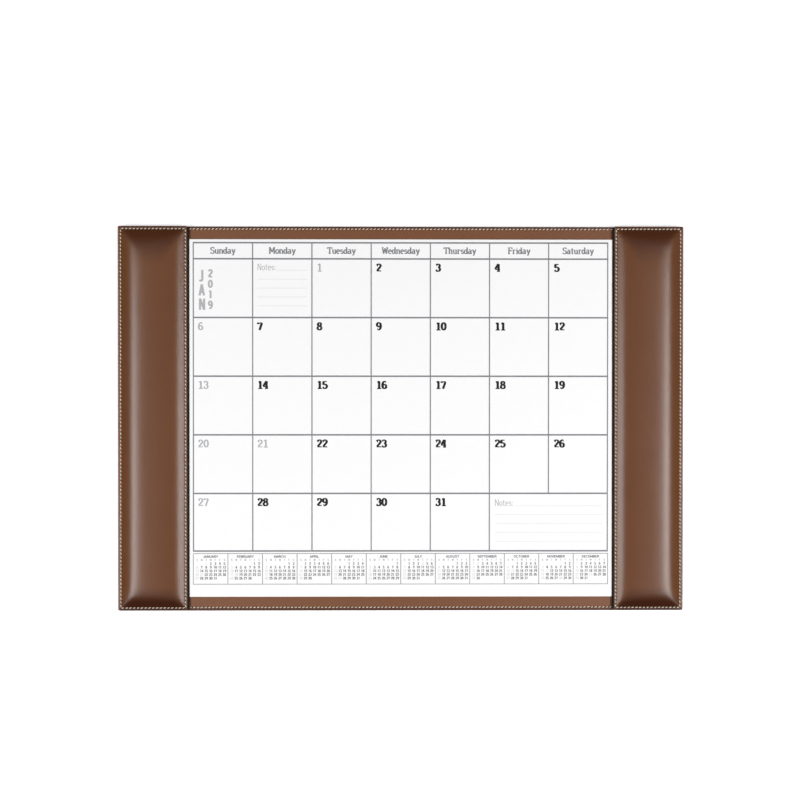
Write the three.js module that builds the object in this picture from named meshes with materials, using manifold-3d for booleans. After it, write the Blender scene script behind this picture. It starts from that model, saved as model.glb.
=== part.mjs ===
// A desk pad calendar: a leather-covered desk pad with two padded side rails. A month-by-month
// calendar pad lies on it and is held by its side edges, which are tucked under the rails.
// Millimetres. +X runs to the reader's right, +Y to the head of the calendar, +Z up.
// The origin is the middle of the underside, on the desk.
import * as THREE from "three";
import { mergeVertices } from "three/addons/utils/BufferGeometryUtils.js";
import Module from "manifold-3d";

const wasm = await Module();
wasm.setup();

// Overall size
const INCH = 25.4;
const PAD_LENGTH = 25.5 * INCH;
const PAD_DEPTH = 17.34 * INCH;

// Clearance kept between glued or resting layers
const GAP = 0.1;

// Base: felt, board and a leather skin that is turned in under the board
const LEATHER = 0.9;
const SKIVED_LEATHER = 0.5;
const BASE_BOARD = 2.4;
const TURN_IN = 15;
const FELT_PRESSED = 0.8;
const FELT_INSET = 2.5;
const BASE_EDGE_RADIUS = 1.6;
const BASE_CORNER_RADIUS = 2.5;

// Side rails: a board and a foam pad inside a leather skin, held off the base by a spacer
const RAIL_WIDTH = 80;
const POCKET = 2.0;
const SPACER_WIDTH = 7;
const SPACER_INSET = 1.2;
const RAIL_BOARD = 0.8;
const RAIL_TURN_IN = 12;
const RAIL_EDGE_RADIUS = 1.0;
const RAIL_CORNER_RADIUS = 2;
const LINING = 0.3;
const LINING_INSET = 1.5;
const LINING_SHOWS = 0.9;
const PADDING_RISE = 9.4;
const OUTER_RAMP = 15;
const INNER_RAMP = 20;
const END_RAMP = 16;
const INWARD_FALL = 0.44;
const FOAM_CLEARANCE = 0.3;
const FOAM_TRIM = 2.2;

// Seams: inset from the edge, and one stitch of the thread
const OUTER_SEAM = 3.4;
const INNER_SEAM = 2.7;
const END_SEAM = 3.3;
const BASE_SEAM = 3.05;
const STITCH_PITCH = 4.3;
const STITCH_WIDTH = 1.0;
const STITCH_HEIGHT = 0.5;
const THREAD_NECK = 0.4;
const PADDING_FROM_SEAM = 1.0;

// Calendar pad: twelve month sheets gummed at the head, on a stiff backing board
const SHEET_LENGTH = 22 * INCH;
const HEAD_MARGIN = 15.3;
const FOOT_MARGIN = 15.5;
const SHEETS = 1.0;
const BACKING = 0.4;
const GUM = 0.3;

// Print: the month grid, the strip of twelve small months and the day numbers
const INK = 0.15;
const RULE = 1.2;
const THIN_RULE = 0.8;
const COLUMN = 67.9;
const HEADER_ROW = 18.4;
const WEEK_ROWS = [67.0, 67.0, 67.0, 67.0, 65.7];
const GRID_FROM_HEAD = 4.3;
const STRIP_GAP = 2.8;
const STRIP_HEIGHT = 35.1;
const MONTHS = 12;
const DIGIT_HEIGHT = 8.8;
const DIGIT_WIDTH = 5.2;
const DIGIT_STROKE = 1.4;
const DIGIT_ADVANCE = 6.3;
const DIGIT_INSET = 5.7;
const FIRST_WEEKDAY = 2;
const DAYS = 31;
const NOTES_COLUMN = 5;

// Heights of the layers, from the desk up
const turnInBottom = FELT_PRESSED + GAP;
const turnInTop = turnInBottom + SKIVED_LEATHER;
const boardBottom = turnInTop + GAP;
const boardTop = boardBottom + BASE_BOARD;
const skinBottom = boardTop + GAP;
const baseTop = skinBottom + LEATHER;
const backingBottom = baseTop + GAP;
const backingTop = backingBottom + BACKING;
const pagesBottom = backingTop + GAP;
const pagesTop = pagesBottom + SHEETS;
const liningBottom = baseTop + POCKET;
const liningTop = liningBottom + LINING;
const railBottom = liningTop + GAP;
const railTurnInTop = railBottom + SKIVED_LEATHER;
const railBoardBottom = railTurnInTop + GAP;
const railBoardTop = railBoardBottom + RAIL_BOARD;
const railSkinBottom = railBoardTop + GAP;
const flangeTop = railSkinBottom + LEATHER;

const group = new THREE.Group();

function material(color, roughness, options = {}) {
  return new THREE.MeshStandardMaterial({ color, roughness, metalness: 0, ...options });
}

const railLeather = material(0x714a33, 0.42);
const baseLeather = material(0x7b5540, 0.5);
const liningCloth = material(0x3a261b, 0.8);
const felt = material(0x2b2019, 0.97);
const greyBoard = material(0xa59d8f, 0.9);
const chipboard = material(0xb9ae9c, 0.9);
const foam = material(0xe3dcc2, 0.95);
const thread = material(0xd9cfbf, 0.75);
const gum = material(0xf2efe6, 0.4);
const printedPaper = material(0xffffff, 0.85, { vertexColors: true });
const greyInk = material(0x85878b, 0.8);

// A closed geometry as a solid for joining and cutting.
function solidOf(geometry) {
  const bare = geometry.clone();
  bare.deleteAttribute("normal");
  bare.deleteAttribute("uv");
  const merged = mergeVertices(bare, 1e-4);
  const mesh = new wasm.Mesh({
    numProp: 3,
    vertProperties: new Float32Array(merged.attributes.position.array),
    triVerts: new Uint32Array(merged.index.array),
  });
  return new wasm.Manifold(mesh);
}

// A solid back as a flat-shaded geometry.
function geometryOf(solid) {
  const mesh = solid.getMesh();
  const indexed = new THREE.BufferGeometry();
  indexed.setAttribute("position", new THREE.BufferAttribute(mesh.vertProperties, 3));
  indexed.setIndex(new THREE.BufferAttribute(mesh.triVerts, 1));
  const flat = indexed.toNonIndexed();
  flat.computeVertexNormals();
  return flat;
}

function place(name, solid, look) {
  const mesh = new THREE.Mesh(geometryOf(solid), look);
  mesh.name = name;
  group.add(mesh);
  return mesh;
}

// A plain block between two corners.
function block(x0, x1, y0, y1, z0, z1) {
  const box = new THREE.BoxGeometry(x1 - x0, y1 - y0, z1 - z0);
  box.translate((x0 + x1) / 2, (y0 + y1) / 2, (z0 + z1) / 2);
  return solidOf(box);
}

function centredBlock(length, depth, z0, z1) {
  return block(-length / 2, length / 2, -depth / 2, depth / 2, z0, z1);
}

function roundedRectangle(length, depth, radius) {
  const x = length / 2;
  const y = depth / 2;
  const shape = new THREE.Shape();
  shape.moveTo(-x + radius, -y);
  shape.lineTo(x - radius, -y);
  shape.absarc(x - radius, -y + radius, radius, -Math.PI / 2, 0, false);
  shape.lineTo(x, y - radius);
  shape.absarc(x - radius, y - radius, radius, 0, Math.PI / 2, false);
  shape.lineTo(-x + radius, y);
  shape.absarc(-x + radius, y - radius, radius, Math.PI / 2, Math.PI, false);
  shape.lineTo(-x, -y + radius);
  shape.absarc(-x + radius, -y + radius, radius, Math.PI, 1.5 * Math.PI, false);
  return shape;
}

// A slab about the origin with round corners in plan and, where edge is above 0, round edges above
// and below.
function slab(length, depth, z0, z1, corner, edge = 0) {
  const geometry = new THREE.ExtrudeGeometry(roundedRectangle(length, depth, corner), {
    depth: z1 - z0 - 2 * edge,
    bevelEnabled: edge > 0,
    bevelThickness: edge,
    bevelSize: edge,
    bevelOffset: -edge,
    bevelSegments: 3,
    curveSegments: 3,
  });
  geometry.translate(0, 0, z0 + edge);
  return solidOf(geometry);
}

// Base, from the felt up

function feltBacking() {
  const sheet = slab(
    PAD_LENGTH - 2 * FELT_INSET, PAD_DEPTH - 2 * FELT_INSET, 0, FELT_PRESSED, BASE_CORNER_RADIUS);
  const clearOfTurnIn = 2 * (TURN_IN + GAP);
  const fullThickness = centredBlock(
    PAD_LENGTH - clearOfTurnIn, PAD_DEPTH - clearOfTurnIn, FELT_PRESSED / 2, turnInTop);
  return sheet.add(fullThickness);
}

function baseBoard() {
  const inset = 2 * (LEATHER + GAP);
  return centredBlock(PAD_LENGTH - inset, PAD_DEPTH - inset, boardBottom, boardTop);
}

// One skin over the top and the edges of the board, turned in under it all round.
function baseCover() {
  const outside = slab(
    PAD_LENGTH, PAD_DEPTH, turnInBottom, baseTop, BASE_CORNER_RADIUS, BASE_EDGE_RADIUS);
  const inside = centredBlock(
    PAD_LENGTH - 2 * LEATHER, PAD_DEPTH - 2 * LEATHER, turnInTop, skinBottom);
  const window = centredBlock(
    PAD_LENGTH - 2 * TURN_IN, PAD_DEPTH - 2 * TURN_IN, turnInBottom - 1, skinBottom);
  return outside.subtract(inside).subtract(window);
}

// Side rails, built about the middle of the rail: outer is +1 where its outer edge is at +X, else -1

const seamHalfLength = PAD_DEPTH / 2 - END_SEAM;
const paddingHalfWidth = (RAIL_WIDTH - OUTER_SEAM - INNER_SEAM) / 2 - PADDING_FROM_SEAM;
const paddingHalfLength = seamHalfLength - PADDING_FROM_SEAM;
const seamMiddle = (INNER_SEAM - OUTER_SEAM) / 2;

// How full the padding is, near 1 on the crown and 0 at its edge. It rises like a ramp from each long
// side and from the ends, and the ramps ease into a top that falls gently towards the inner side.
const EASE = 3;
const FALL_CURVE = 1.6;
function fullness(toOuter, toInner, toEnd) {
  const top = 1 - INWARD_FALL * (toOuter / (2 * paddingHalfWidth)) ** FALL_CURVE;
  const ramps = [toOuter / OUTER_RAMP, toInner / INNER_RAMP, toEnd / END_RAMP];
  const limits = [top, ...ramps.map((share) => Math.max(share, 1e-3))];
  return limits.reduce((sum, limit) => sum + limit ** -EASE, 0) ** (-1 / EASE);
}

// A cushion-shaped solid under that surface, drawn in by inset and lowered by drop. Its edge is sunk
// below the flange, so that it meets the flat leather outside in a clean line. Where trim is given, the
// thin edge is cut away over that distance.
const FROM_SIDE = [0, 2.5, 5, 7.5, 10.5, 13.5, 17, 21.5, 28];
const FROM_END = [0, 2.5, 5, 8.5, 12, 16, 21, 28, 40];
const CUSHION_DEPTH = 0.8;
const EDGE_SUNK = 0.3;
function cushion(inset, drop, bottom = flangeTop - CUSHION_DEPTH - drop, trim = 0) {
  const halfWidth = paddingHalfWidth - inset;
  const halfLength = paddingHalfLength - inset;
  const stops = (half, fromEdge) => {
    const low = fromEdge.map((k) => Math.max(k, trim) - half);
    return [...low, ...low.map((k) => -k).reverse()];
  };
  const across = stops(halfWidth, FROM_SIDE);
  across.splice(FROM_SIDE.length, 0, 0);
  const lines = stops(halfLength, FROM_END);
  const columns = across.length;
  const rows = lines.length;
  const layer = columns * rows;
  const position = [];
  for (const top of [true, false]) {
    for (const y of lines) {
      for (const x of across) {
        const full = fullness(halfWidth - x, halfWidth + x, halfLength - Math.abs(y));
        const rise = (PADDING_RISE + EDGE_SUNK) * full - EDGE_SUNK;
        position.push(seamMiddle + x, y, top ? flangeTop + rise - drop : bottom);
      }
    }
  }
  const index = [];
  const quad = (a, b, c, d) => index.push(a, b, c, a, c, d);
  for (let j = 0; j < rows - 1; j += 1) {
    for (let i = 0; i < columns - 1; i += 1) {
      const a = j * columns + i;
      const corners = [a, a + 1, a + columns + 1, a + columns];
      const risesAlongDiagonal = (i < FROM_SIDE.length) === (j < rows / 2 - 1);
      const turned = risesAlongDiagonal ? corners : [...corners.slice(1), corners[0]];
      quad(...turned);
      const [p, q, r, s] = corners.map((k) => k + layer);
      quad(s, r, q, p);
    }
  }
  for (let i = 0; i < columns - 1; i += 1) {
    const last = (rows - 1) * columns + i;
    quad(i, i + layer, i + 1 + layer, i + 1);
    quad(last + 1, last + 1 + layer, last + layer, last);
  }
  for (let j = 0; j < rows - 1; j += 1) {
    const left = j * columns;
    const right = left + columns - 1;
    quad(left + columns, left + columns + layer, left + layer, left);
    quad(right, right + layer, right + columns + layer, right + columns);
  }
  const geometry = new THREE.BufferGeometry();
  geometry.setAttribute("position", new THREE.Float32BufferAttribute(position, 3));
  geometry.setIndex(index);
  return solidOf(geometry);
}

// A U of thick leather under the edge of the rail. Its open side is the mouth of the pocket.
function railSpacer() {
  const z0 = baseTop + GAP;
  const z1 = liningBottom - GAP;
  const outerX = RAIL_WIDTH / 2 - SPACER_INSET;
  const endY = PAD_DEPTH / 2 - SPACER_INSET;
  const whole = block(-RAIL_WIDTH / 2 + SPACER_INSET, outerX, -endY, endY, z0, z1);
  const pocket = block(
    -RAIL_WIDTH, outerX - SPACER_WIDTH, -endY + SPACER_WIDTH, endY - SPACER_WIDTH, z0 - 1, z1 + 1);
  return whole.subtract(pocket);
}

// A thin dark cloth under the rail, pressed up against the board inside the turned-in leather. Its edge
// shows a little past the rail along the mouth of the pocket.
function railLining() {
  const outer = RAIL_WIDTH / 2 - LINING_INSET;
  const inner = -RAIL_WIDTH / 2 - LINING_SHOWS;
  const endY = PAD_DEPTH / 2 - LINING_INSET;
  const sheet = block(inner, outer, -endY, endY, liningBottom, liningTop);
  const step = 2 * (RAIL_TURN_IN + GAP);
  const wall = 2 * LINING;
  const pressedUp = centredBlock(
    RAIL_WIDTH - step, PAD_DEPTH - step, liningBottom + LINING / 2, railTurnInTop);
  const recess = centredBlock(
    RAIL_WIDTH - step - wall, PAD_DEPTH - step - wall, liningBottom - 1, railTurnInTop - LINING);
  return sheet.add(pressedUp).subtract(recess);
}

function railBoard() {
  const inset = 2 * (LEATHER + GAP);
  return centredBlock(RAIL_WIDTH - inset, PAD_DEPTH - inset, railBoardBottom, railBoardTop);
}

// Foam that lies on the board and fills the cover, a little clear of it. Its thin edge is cut away.
function railFoam() {
  return cushion(FOAM_CLEARANCE + LEATHER / 2, LEATHER + FOAM_CLEARANCE, railSkinBottom, FOAM_TRIM);
}

// One leather skin over foam and board: flat outside the seam, and turned in underneath.
function railCover() {
  const rim = slab(
    RAIL_WIDTH, PAD_DEPTH, railBottom, flangeTop, RAIL_CORNER_RADIUS, RAIL_EDGE_RADIUS);
  const forBoard = centredBlock(
    RAIL_WIDTH - 2 * LEATHER, PAD_DEPTH - 2 * LEATHER, railTurnInTop, railSkinBottom);
  const forFoam = cushion(LEATHER / 2, LEATHER);
  const window = centredBlock(
    RAIL_WIDTH - 2 * RAIL_TURN_IN, PAD_DEPTH - 2 * RAIL_TURN_IN, railBottom - 1, railSkinBottom);
  return rim.add(cushion(0, 0)).subtract(forBoard).subtract(forFoam).subtract(window);
}

// Stitching: one thread along a line of points. It is thick in the middle of each stitch and thin
// where it dips into the leather between two.
function seamThread(corners, z, closed) {
  const ends = closed ? [...corners, corners[0]] : corners;
  const dips = [];
  for (let k = 0; k < ends.length - 1; k += 1) {
    const stitches = Math.round(ends[k].distanceTo(ends[k + 1]) / STITCH_PITCH);
    for (let n = 0; n < stitches; n += 1) {
      dips.push(ends[k].clone().lerp(ends[k + 1], n / stitches));
    }
  }
  if (!closed) {
    dips.push(ends[ends.length - 1]);
  }
  const count = dips.length;
  const at = (k) => (closed ? dips[(k + count) % count] : dips[Math.min(Math.max(k, 0), count - 1)]);
  const position = [];
  const ring = (centre, direction, width, height) => {
    const side = new THREE.Vector2(-direction.y, direction.x).multiplyScalar(width / 2);
    position.push(centre.x - side.x, centre.y - side.y, z);
    position.push(centre.x + side.x, centre.y + side.y, z);
    position.push(centre.x, centre.y, z + height);
  };
  const stitchCount = closed ? count : count - 1;
  for (let k = 0; k < count; k += 1) {
    const through = at(k + 1).clone().sub(at(k - 1)).normalize();
    ring(at(k), through, THREAD_NECK, THREAD_NECK / 2);
    if (k < stitchCount) {
      const along = at(k + 1).clone().sub(at(k)).normalize();
      ring(at(k).clone().lerp(at(k + 1), 0.5), along, STITCH_WIDTH, STITCH_HEIGHT);
    }
  }
  const rings = position.length / 9;
  const index = [];
  for (let r = 0; r < (closed ? rings : rings - 1); r += 1) {
    const a = 3 * r;
    const b = 3 * ((r + 1) % rings);
    for (const [p, q] of [[0, 1], [1, 2], [2, 0]]) {
      index.push(a + p, a + q, b + q, a + p, b + q, b + p);
    }
  }
  if (!closed) {
    const last = 3 * (rings - 1);
    index.push(0, 2, 1, last, last + 1, last + 2);
  }
  const geometry = new THREE.BufferGeometry();
  geometry.setAttribute("position", new THREE.Float32BufferAttribute(position, 3));
  geometry.setIndex(index);
  return solidOf(geometry);
}

function railStitching() {
  const outerX = RAIL_WIDTH / 2 - OUTER_SEAM;
  const innerX = -RAIL_WIDTH / 2 + INNER_SEAM;
  const corners = [
    new THREE.Vector2(innerX, -seamHalfLength),
    new THREE.Vector2(outerX, -seamHalfLength),
    new THREE.Vector2(outerX, seamHalfLength),
    new THREE.Vector2(innerX, seamHalfLength),
  ];
  return seamThread(corners, flangeTop + GAP, true);
}

// A seam along the head or the foot of the base, from rail to rail.
function baseStitching(side) {
  const x = PAD_LENGTH / 2 - RAIL_WIDTH;
  const y = side * (PAD_DEPTH / 2 - BASE_SEAM);
  return seamThread([new THREE.Vector2(-x, y), new THREE.Vector2(x, y)], baseTop + GAP, false);
}

// Calendar pad

const pageHead = PAD_DEPTH / 2 - HEAD_MARGIN;
const pageFoot = -PAD_DEPTH / 2 + FOOT_MARGIN;
const gridLeft = -3.5 * COLUMN;
const gridHead = pageHead - GRID_FROM_HEAD;
const weekHeads = WEEK_ROWS.map((_, week) =>
  gridHead - HEADER_ROW - WEEK_ROWS.slice(0, week).reduce((sum, row) => sum + row, 0));
const gridFoot = weekHeads[WEEK_ROWS.length - 1] - WEEK_ROWS[WEEK_ROWS.length - 1];
const stripHead = gridFoot - STRIP_GAP;

function sheetBlock(z0, z1) {
  return block(-SHEET_LENGTH / 2, SHEET_LENGTH / 2, pageFoot, pageHead, z0, z1);
}

// Outlines of plain block figures on a box 1 wide and 1 high. s and t are the stroke's width across
// and along, and m0 and m1 are the edges of the middle bar. Holes follow the outline.
function figureOutlines() {
  const s = DIGIT_STROKE / DIGIT_WIDTH;
  const t = DIGIT_STROKE / DIGIT_HEIGHT;
  const m0 = (1 - t) / 2;
  const m1 = (1 + t) / 2;
  const c = 0.14;
  const body = [[c, 0], [1 - c, 0], [1, c], [1, 1 - c], [1 - c, 1], [c, 1], [0, 1 - c], [0, c]];
  const upperHole = [[s, m1], [s, 1 - t], [1 - s, 1 - t], [1 - s, m1]];
  const lowerHole = [[s, t], [s, m0], [1 - s, m0], [1 - s, t]];
  const six = [[c, 0], [1 - c, 0], [1, c], [1, m1], [s, m1], [s, 1 - t], [1, 1 - t], [1, 1],
    [c, 1], [0, 1 - c], [0, c]];
  const two = [[0, 0], [1, 0], [1, t], [s, t], [s, m0], [1, m0], [1, 1 - c], [1 - c, 1], [0, 1],
    [0, 1 - t], [1 - s, 1 - t], [1 - s, m1], [0, m1]];
  const three = [[0, 0], [1 - c, 0], [1, c], [1, 1 - c], [1 - c, 1], [0, 1], [0, 1 - t],
    [1 - s, 1 - t], [1 - s, m1], [0.2, m1], [0.2, m0], [1 - s, m0], [1 - s, t], [0, t]];
  const four = [[1 - s, 0], [1, 0], [1, 1], [1 - s, 1], [1 - s, m1], [s, m1], [s, 1], [0, 1], [0, m0],
    [1 - s, m0]];
  const one = [[0.35, 0], [0.35 + s, 0], [0.35 + s, 1], [0.35, 1], [0.05, 0.8], [0.35, 0.8]];
  const seven = [[0.2, 0], [0.2 + s, 0], [1, 1 - t], [1, 1], [0, 1], [0, 1 - t], [1 - s, 1 - t]];
  const turned = (outline) => outline.map(([x, y]) => [1 - x, 1 - y]);
  const mirrored = (outline) => outline.map(([x, y]) => [1 - x, y]).reverse();
  return [
    [body, [[s, t], [s, 1 - t], [1 - s, 1 - t], [1 - s, t]]],
    [one],
    [two],
    [three],
    [four],
    [mirrored(two)],
    [six, lowerHole],
    [seven],
    [body, upperHole, lowerHole],
    [turned(six), turned(lowerHole)],
  ];
}

function figurePrism(outlines, left, foot) {
  const point = ([x, y]) => new THREE.Vector2(left + x * DIGIT_WIDTH, foot + y * DIGIT_HEIGHT);
  const shape = new THREE.Shape(outlines[0].map(point));
  for (const hole of outlines.slice(1)) {
    shape.holes.push(new THREE.Path(hole.map(point)));
  }
  const geometry = new THREE.ExtrudeGeometry(shape, { depth: SHEETS / 2 + INK, bevelEnabled: false });
  geometry.translate(0, 0, pagesTop - SHEETS / 2);
  return solidOf(geometry);
}

// The month sheets as one block, with the day numbers standing on the top sheet by the ink's height.
function calendarPages() {
  const figures = figureOutlines();
  const prisms = [];
  for (let day = 1; day <= DAYS; day += 1) {
    const cell = day + FIRST_WEEKDAY - 1;
    const week = Math.floor(cell / 7);
    const left = gridLeft + (cell % 7) * COLUMN + DIGIT_INSET;
    const foot = weekHeads[week] - DIGIT_INSET - DIGIT_HEIGHT;
    [...String(day)].forEach((digit, k) => {
      prisms.push(figurePrism(figures[Number(digit)], left + k * DIGIT_ADVANCE, foot));
    });
  }
  return wasm.Manifold.union([sheetBlock(pagesBottom, pagesTop), ...prisms]);
}

// Faces above the sheet take the ink's colour, and the rest the paper's.
function colourPrint(mesh, paper, ink) {
  const position = mesh.geometry.attributes.position;
  const colours = new Float32Array(position.count * 3);
  for (let face = 0; face < position.count; face += 3) {
    const middle = (position.getZ(face) + position.getZ(face + 1) + position.getZ(face + 2)) / 3;
    const colour = middle > pagesTop + INK / 4 ? ink : paper;
    for (let k = face; k < face + 3; k += 1) {
      colour.toArray(colours, 3 * k);
    }
  }
  mesh.geometry.setAttribute("color", new THREE.BufferAttribute(colours, 3));
}

// A thin plate with cells cut out of it, so that only its rules are left.
function ruledGrid(left, right, foot, head, rule, cells) {
  const z0 = pagesTop + GAP;
  const z1 = z0 + INK;
  const half = rule / 2;
  const plate = block(left - half, right + half, foot - half, head + half, z0, z1);
  const cuts = cells.map(([x0, x1, y0, y1]) =>
    block(x0 + half, x1 - half, y0 + half, y1 - half, z0 - 1, z1 + 1));
  return plate.subtract(wasm.Manifold.union(cuts));
}

// Seven weekday columns under a header row. The last two cells of the last week are one, for notes.
function monthGrid() {
  const cells = [];
  const columnAt = (k) => gridLeft + k * COLUMN;
  for (let day = 0; day < 7; day += 1) {
    cells.push([columnAt(day), columnAt(day + 1), weekHeads[0], gridHead]);
    WEEK_ROWS.forEach((row, week) => {
      const lastWeek = week === WEEK_ROWS.length - 1;
      if (lastWeek && day > NOTES_COLUMN) {
        return;
      }
      const end = lastWeek && day === NOTES_COLUMN ? 7 : day + 1;
      cells.push([columnAt(day), columnAt(end), weekHeads[week] - row, weekHeads[week]]);
    });
  }
  return ruledGrid(columnAt(0), columnAt(7), gridFoot, gridHead, RULE, cells);
}

function yearStrip() {
  const width = (7 * COLUMN) / MONTHS;
  const cells = [];
  for (let month = 0; month < MONTHS; month += 1) {
    const x = gridLeft + month * width;
    cells.push([x, x + width, stripHead - STRIP_HEIGHT, stripHead]);
  }
  return ruledGrid(gridLeft, -gridLeft, stripHead - STRIP_HEIGHT, stripHead, THIN_RULE, cells);
}

// The dried gum that holds the sheets and the backing together at the head.
function padGum() {
  const y = pageHead + GAP;
  return block(-SHEET_LENGTH / 2, SHEET_LENGTH / 2, y, y + GUM, backingBottom, pagesTop);
}

// Assembly

place("felt_backing", feltBacking(), felt);
place("base_board", baseBoard(), greyBoard);
place("base_cover", baseCover(), baseLeather);
place("base_head_stitching", baseStitching(1), thread);
place("base_foot_stitching", baseStitching(-1), thread);
place("calendar_backing_board", sheetBlock(backingBottom, backingTop), chipboard);
const pages = place("calendar_pages", calendarPages(), printedPaper);
colourPrint(pages, new THREE.Color(0xfdfcfd), new THREE.Color(0x1a1a1c));
place("pad_gum", padGum(), gum);
place("month_grid_print", monthGrid(), greyInk);
place("year_strip_print", yearStrip(), greyInk);

// The right rail is the left one turned half a turn about the vertical, so one build serves both.
const railPieces = {
  spacer: [railSpacer(), baseLeather],
  lining: [railLining(), liningCloth],
  board: [railBoard(), greyBoard],
  foam: [railFoam(), foam],
  cover: [railCover(), railLeather],
  stitching: [railStitching(), thread],
};
for (const [side, direction] of [["left", -1], ["right", 1]]) {
  const rail = new THREE.Group();
  rail.position.x = (direction * (PAD_LENGTH - RAIL_WIDTH)) / 2;
  rail.rotation.z = direction > 0 ? 0 : Math.PI;
  for (const [piece, [solid, look]] of Object.entries(railPieces)) {
    const mesh = new THREE.Mesh(geometryOf(solid), look);
    mesh.name = `${side}_rail_${piece}`;
    rail.add(mesh);
  }
  group.add(rail);
}

export default group;
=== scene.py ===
"""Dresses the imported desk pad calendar: padded leather rails, leather base, thread, felt, paper and print.

Sizes are in millimetres in this file and become metres as each mesh is made. +X runs to the reader's
right, +Y to the head of the calendar, +Z up. The origin is the middle of the underside.
"""

import math
from typing import NamedTuple

import bmesh
import bpy
import numpy as np
from bpy.props import FloatProperty, FloatVectorProperty, IntProperty, PointerProperty
from mathutils import Euler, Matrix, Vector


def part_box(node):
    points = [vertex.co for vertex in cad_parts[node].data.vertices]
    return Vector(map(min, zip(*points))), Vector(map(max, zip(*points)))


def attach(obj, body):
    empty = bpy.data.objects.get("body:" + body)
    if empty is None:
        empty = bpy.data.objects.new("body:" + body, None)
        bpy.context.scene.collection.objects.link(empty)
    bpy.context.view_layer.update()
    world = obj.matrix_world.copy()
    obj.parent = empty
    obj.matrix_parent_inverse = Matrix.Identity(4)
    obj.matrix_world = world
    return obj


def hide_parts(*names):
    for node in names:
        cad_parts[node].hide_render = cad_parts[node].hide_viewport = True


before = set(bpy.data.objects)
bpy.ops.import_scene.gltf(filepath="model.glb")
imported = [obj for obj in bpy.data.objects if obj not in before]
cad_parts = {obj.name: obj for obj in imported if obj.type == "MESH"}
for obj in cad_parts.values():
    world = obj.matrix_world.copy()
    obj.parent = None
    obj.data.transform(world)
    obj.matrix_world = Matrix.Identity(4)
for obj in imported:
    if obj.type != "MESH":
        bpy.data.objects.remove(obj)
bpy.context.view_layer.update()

bl_info = {
    "name": "Desk pad calendar",
    "version": (1, 0, 0),
    "blender": (4, 5, 0),
    "location": "3D View > Sidebar > Desk pad",
    "description": "Makes the leather, thread, felt, paper and print of a desk pad calendar",
    "category": "Object",
}

MM = 0.001
BODY = "root"


def box_mm(node):
    """Lowest and highest corner of a CAD node, in millimetres."""
    low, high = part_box(node)
    return np.array(low) / MM, np.array(high) / MM


# Places that come from the frame

GAP = 0.1
INK_RELIEF = 0.15
base_low, base_high = box_mm("base_cover")
HALF_LENGTH = base_high[0]
HALF_DEPTH = base_high[1]
BASE_TOP = base_high[2]
rail_low, rail_high = box_mm("right_rail_cover")
RAIL_MIDDLE = (rail_low[0] + rail_high[0]) / 2
RAIL_HALF = (rail_high[0] - rail_low[0]) / 2
RAIL_BOTTOM = rail_low[2]
CROWN = rail_high[2]
FLANGE_TOP = box_mm("right_rail_stitching")[0][2] - GAP
pages_low, pages_high = box_mm("calendar_pages")
SHEET_TOP = pages_high[2] - INK_RELIEF
felt_low, felt_high = box_mm("felt_backing")
lining_low, lining_high = box_mm("right_rail_lining")

# Sizes that the scene repeats from the part

BASE_TURN_IN = 15.0
BASE_CORNER = 2.5
BASE_EDGE = 1.6
BOARD_CLEARANCE = 0.05
FELT_PRESSED = 0.8
RAIL_TURN_IN = 12.0
RAIL_CORNER = 2.0
RAIL_EDGE = 1.0
SKIVED_LEATHER = 0.5
LINING = 0.3
OUTER_SEAM = 3.4
INNER_SEAM = 2.7
END_SEAM = 3.3
BASE_SEAM = 3.05
SEAM_PITCH = 4.3

# Shapes and places that only the scene has

BETWEEN_HOLES = 0.72
AT_HOLES = 0.28
# Share of painted shade along the seams: the leather is darkened in the seam grooves, where shade falls.
SEAM_PAINTED_SHADE = 0.85
THREAD_SINK = 0.12
TOP_BAND = 0.8
WELD = 0.002
FOOT_OVERHANG = 1.0
BASE_DARK_EDGE = 2.4
CAMERA_PLACE = (-0.0163, 0.0347)
CAMERA_TURN = (-0.00884, -0.00989, 0.00035)
SOFTBOX_PLACE = (1.2, -0.3, 1.5)
SOFTBOX_AIM = (0.1, -0.1, 0.0)
SOFTBOX_SIZE = (0.6, 1.25)
SOFTBOXES = (("softbox_left", -1, 0.96), ("softbox_right", 1, 1.08))

# Print on the top sheet, within a millimetre of the part's

COLUMN = 67.9
HEADER_ROW = 18.4
WEEK_ROWS = (67.25, 67.25, 67.25, 67.25, 66.1)
GRID_FROM_HEAD = 3.6
STRIP_GAP = 2.95
STRIP_HEIGHT = 35.15
GRID_LEFT = -3.5 * COLUMN - 0.3
STRIP_LEFT = GRID_LEFT - 0.3
STRIP_MONTH = (7 * COLUMN + 0.8) / 12
GRID_HEAD = pages_high[1] - GRID_FROM_HEAD
WEEK_HEADS = [GRID_HEAD - HEADER_ROW - sum(WEEK_ROWS[:week]) for week in range(len(WEEK_ROWS) + 1)]
STRIP_HEAD = WEEK_HEADS[-1] - STRIP_GAP
INK_LIFT = 0.03
INK_STEP = 0.012
INK_LEVELS = 10

WEEKDAYS = ("Sunday", "Monday", "Tuesday", "Wednesday", "Thursday", "Friday", "Saturday")
MONTHS = (
    "JANUARY", "FEBRUARY", "MARCH", "APRIL", "MAY", "JUNE",
    "JULY", "AUGUST", "SEPTEMBER", "OCTOBER", "NOVEMBER", "DECEMBER")
FREE_DAYS = ((0, 1), (0, 21), (1, 18), (4, 27), (6, 4), (8, 2), (9, 14), (10, 11), (10, 28), (11, 25))
MONTH_DAYS = (31, 28, 31, 30, 31, 30, 31, 31, 30, 31, 30, 31)
FIRST_WEEKDAY = 2
NOTES_WEEKDAY = 5
GREY_DAYS = (1, 6, 13, 20, 21, 27)


# Settings


def colour_setting(name, description, default):
    return FloatVectorProperty(
        name=name, description=description, subtype="COLOR", min=0, max=1, default=default)


def length_setting(name, description, default, low, high):
    return FloatProperty(
        name=name, description=description, unit="LENGTH", min=low, max=high, default=default)


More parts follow.
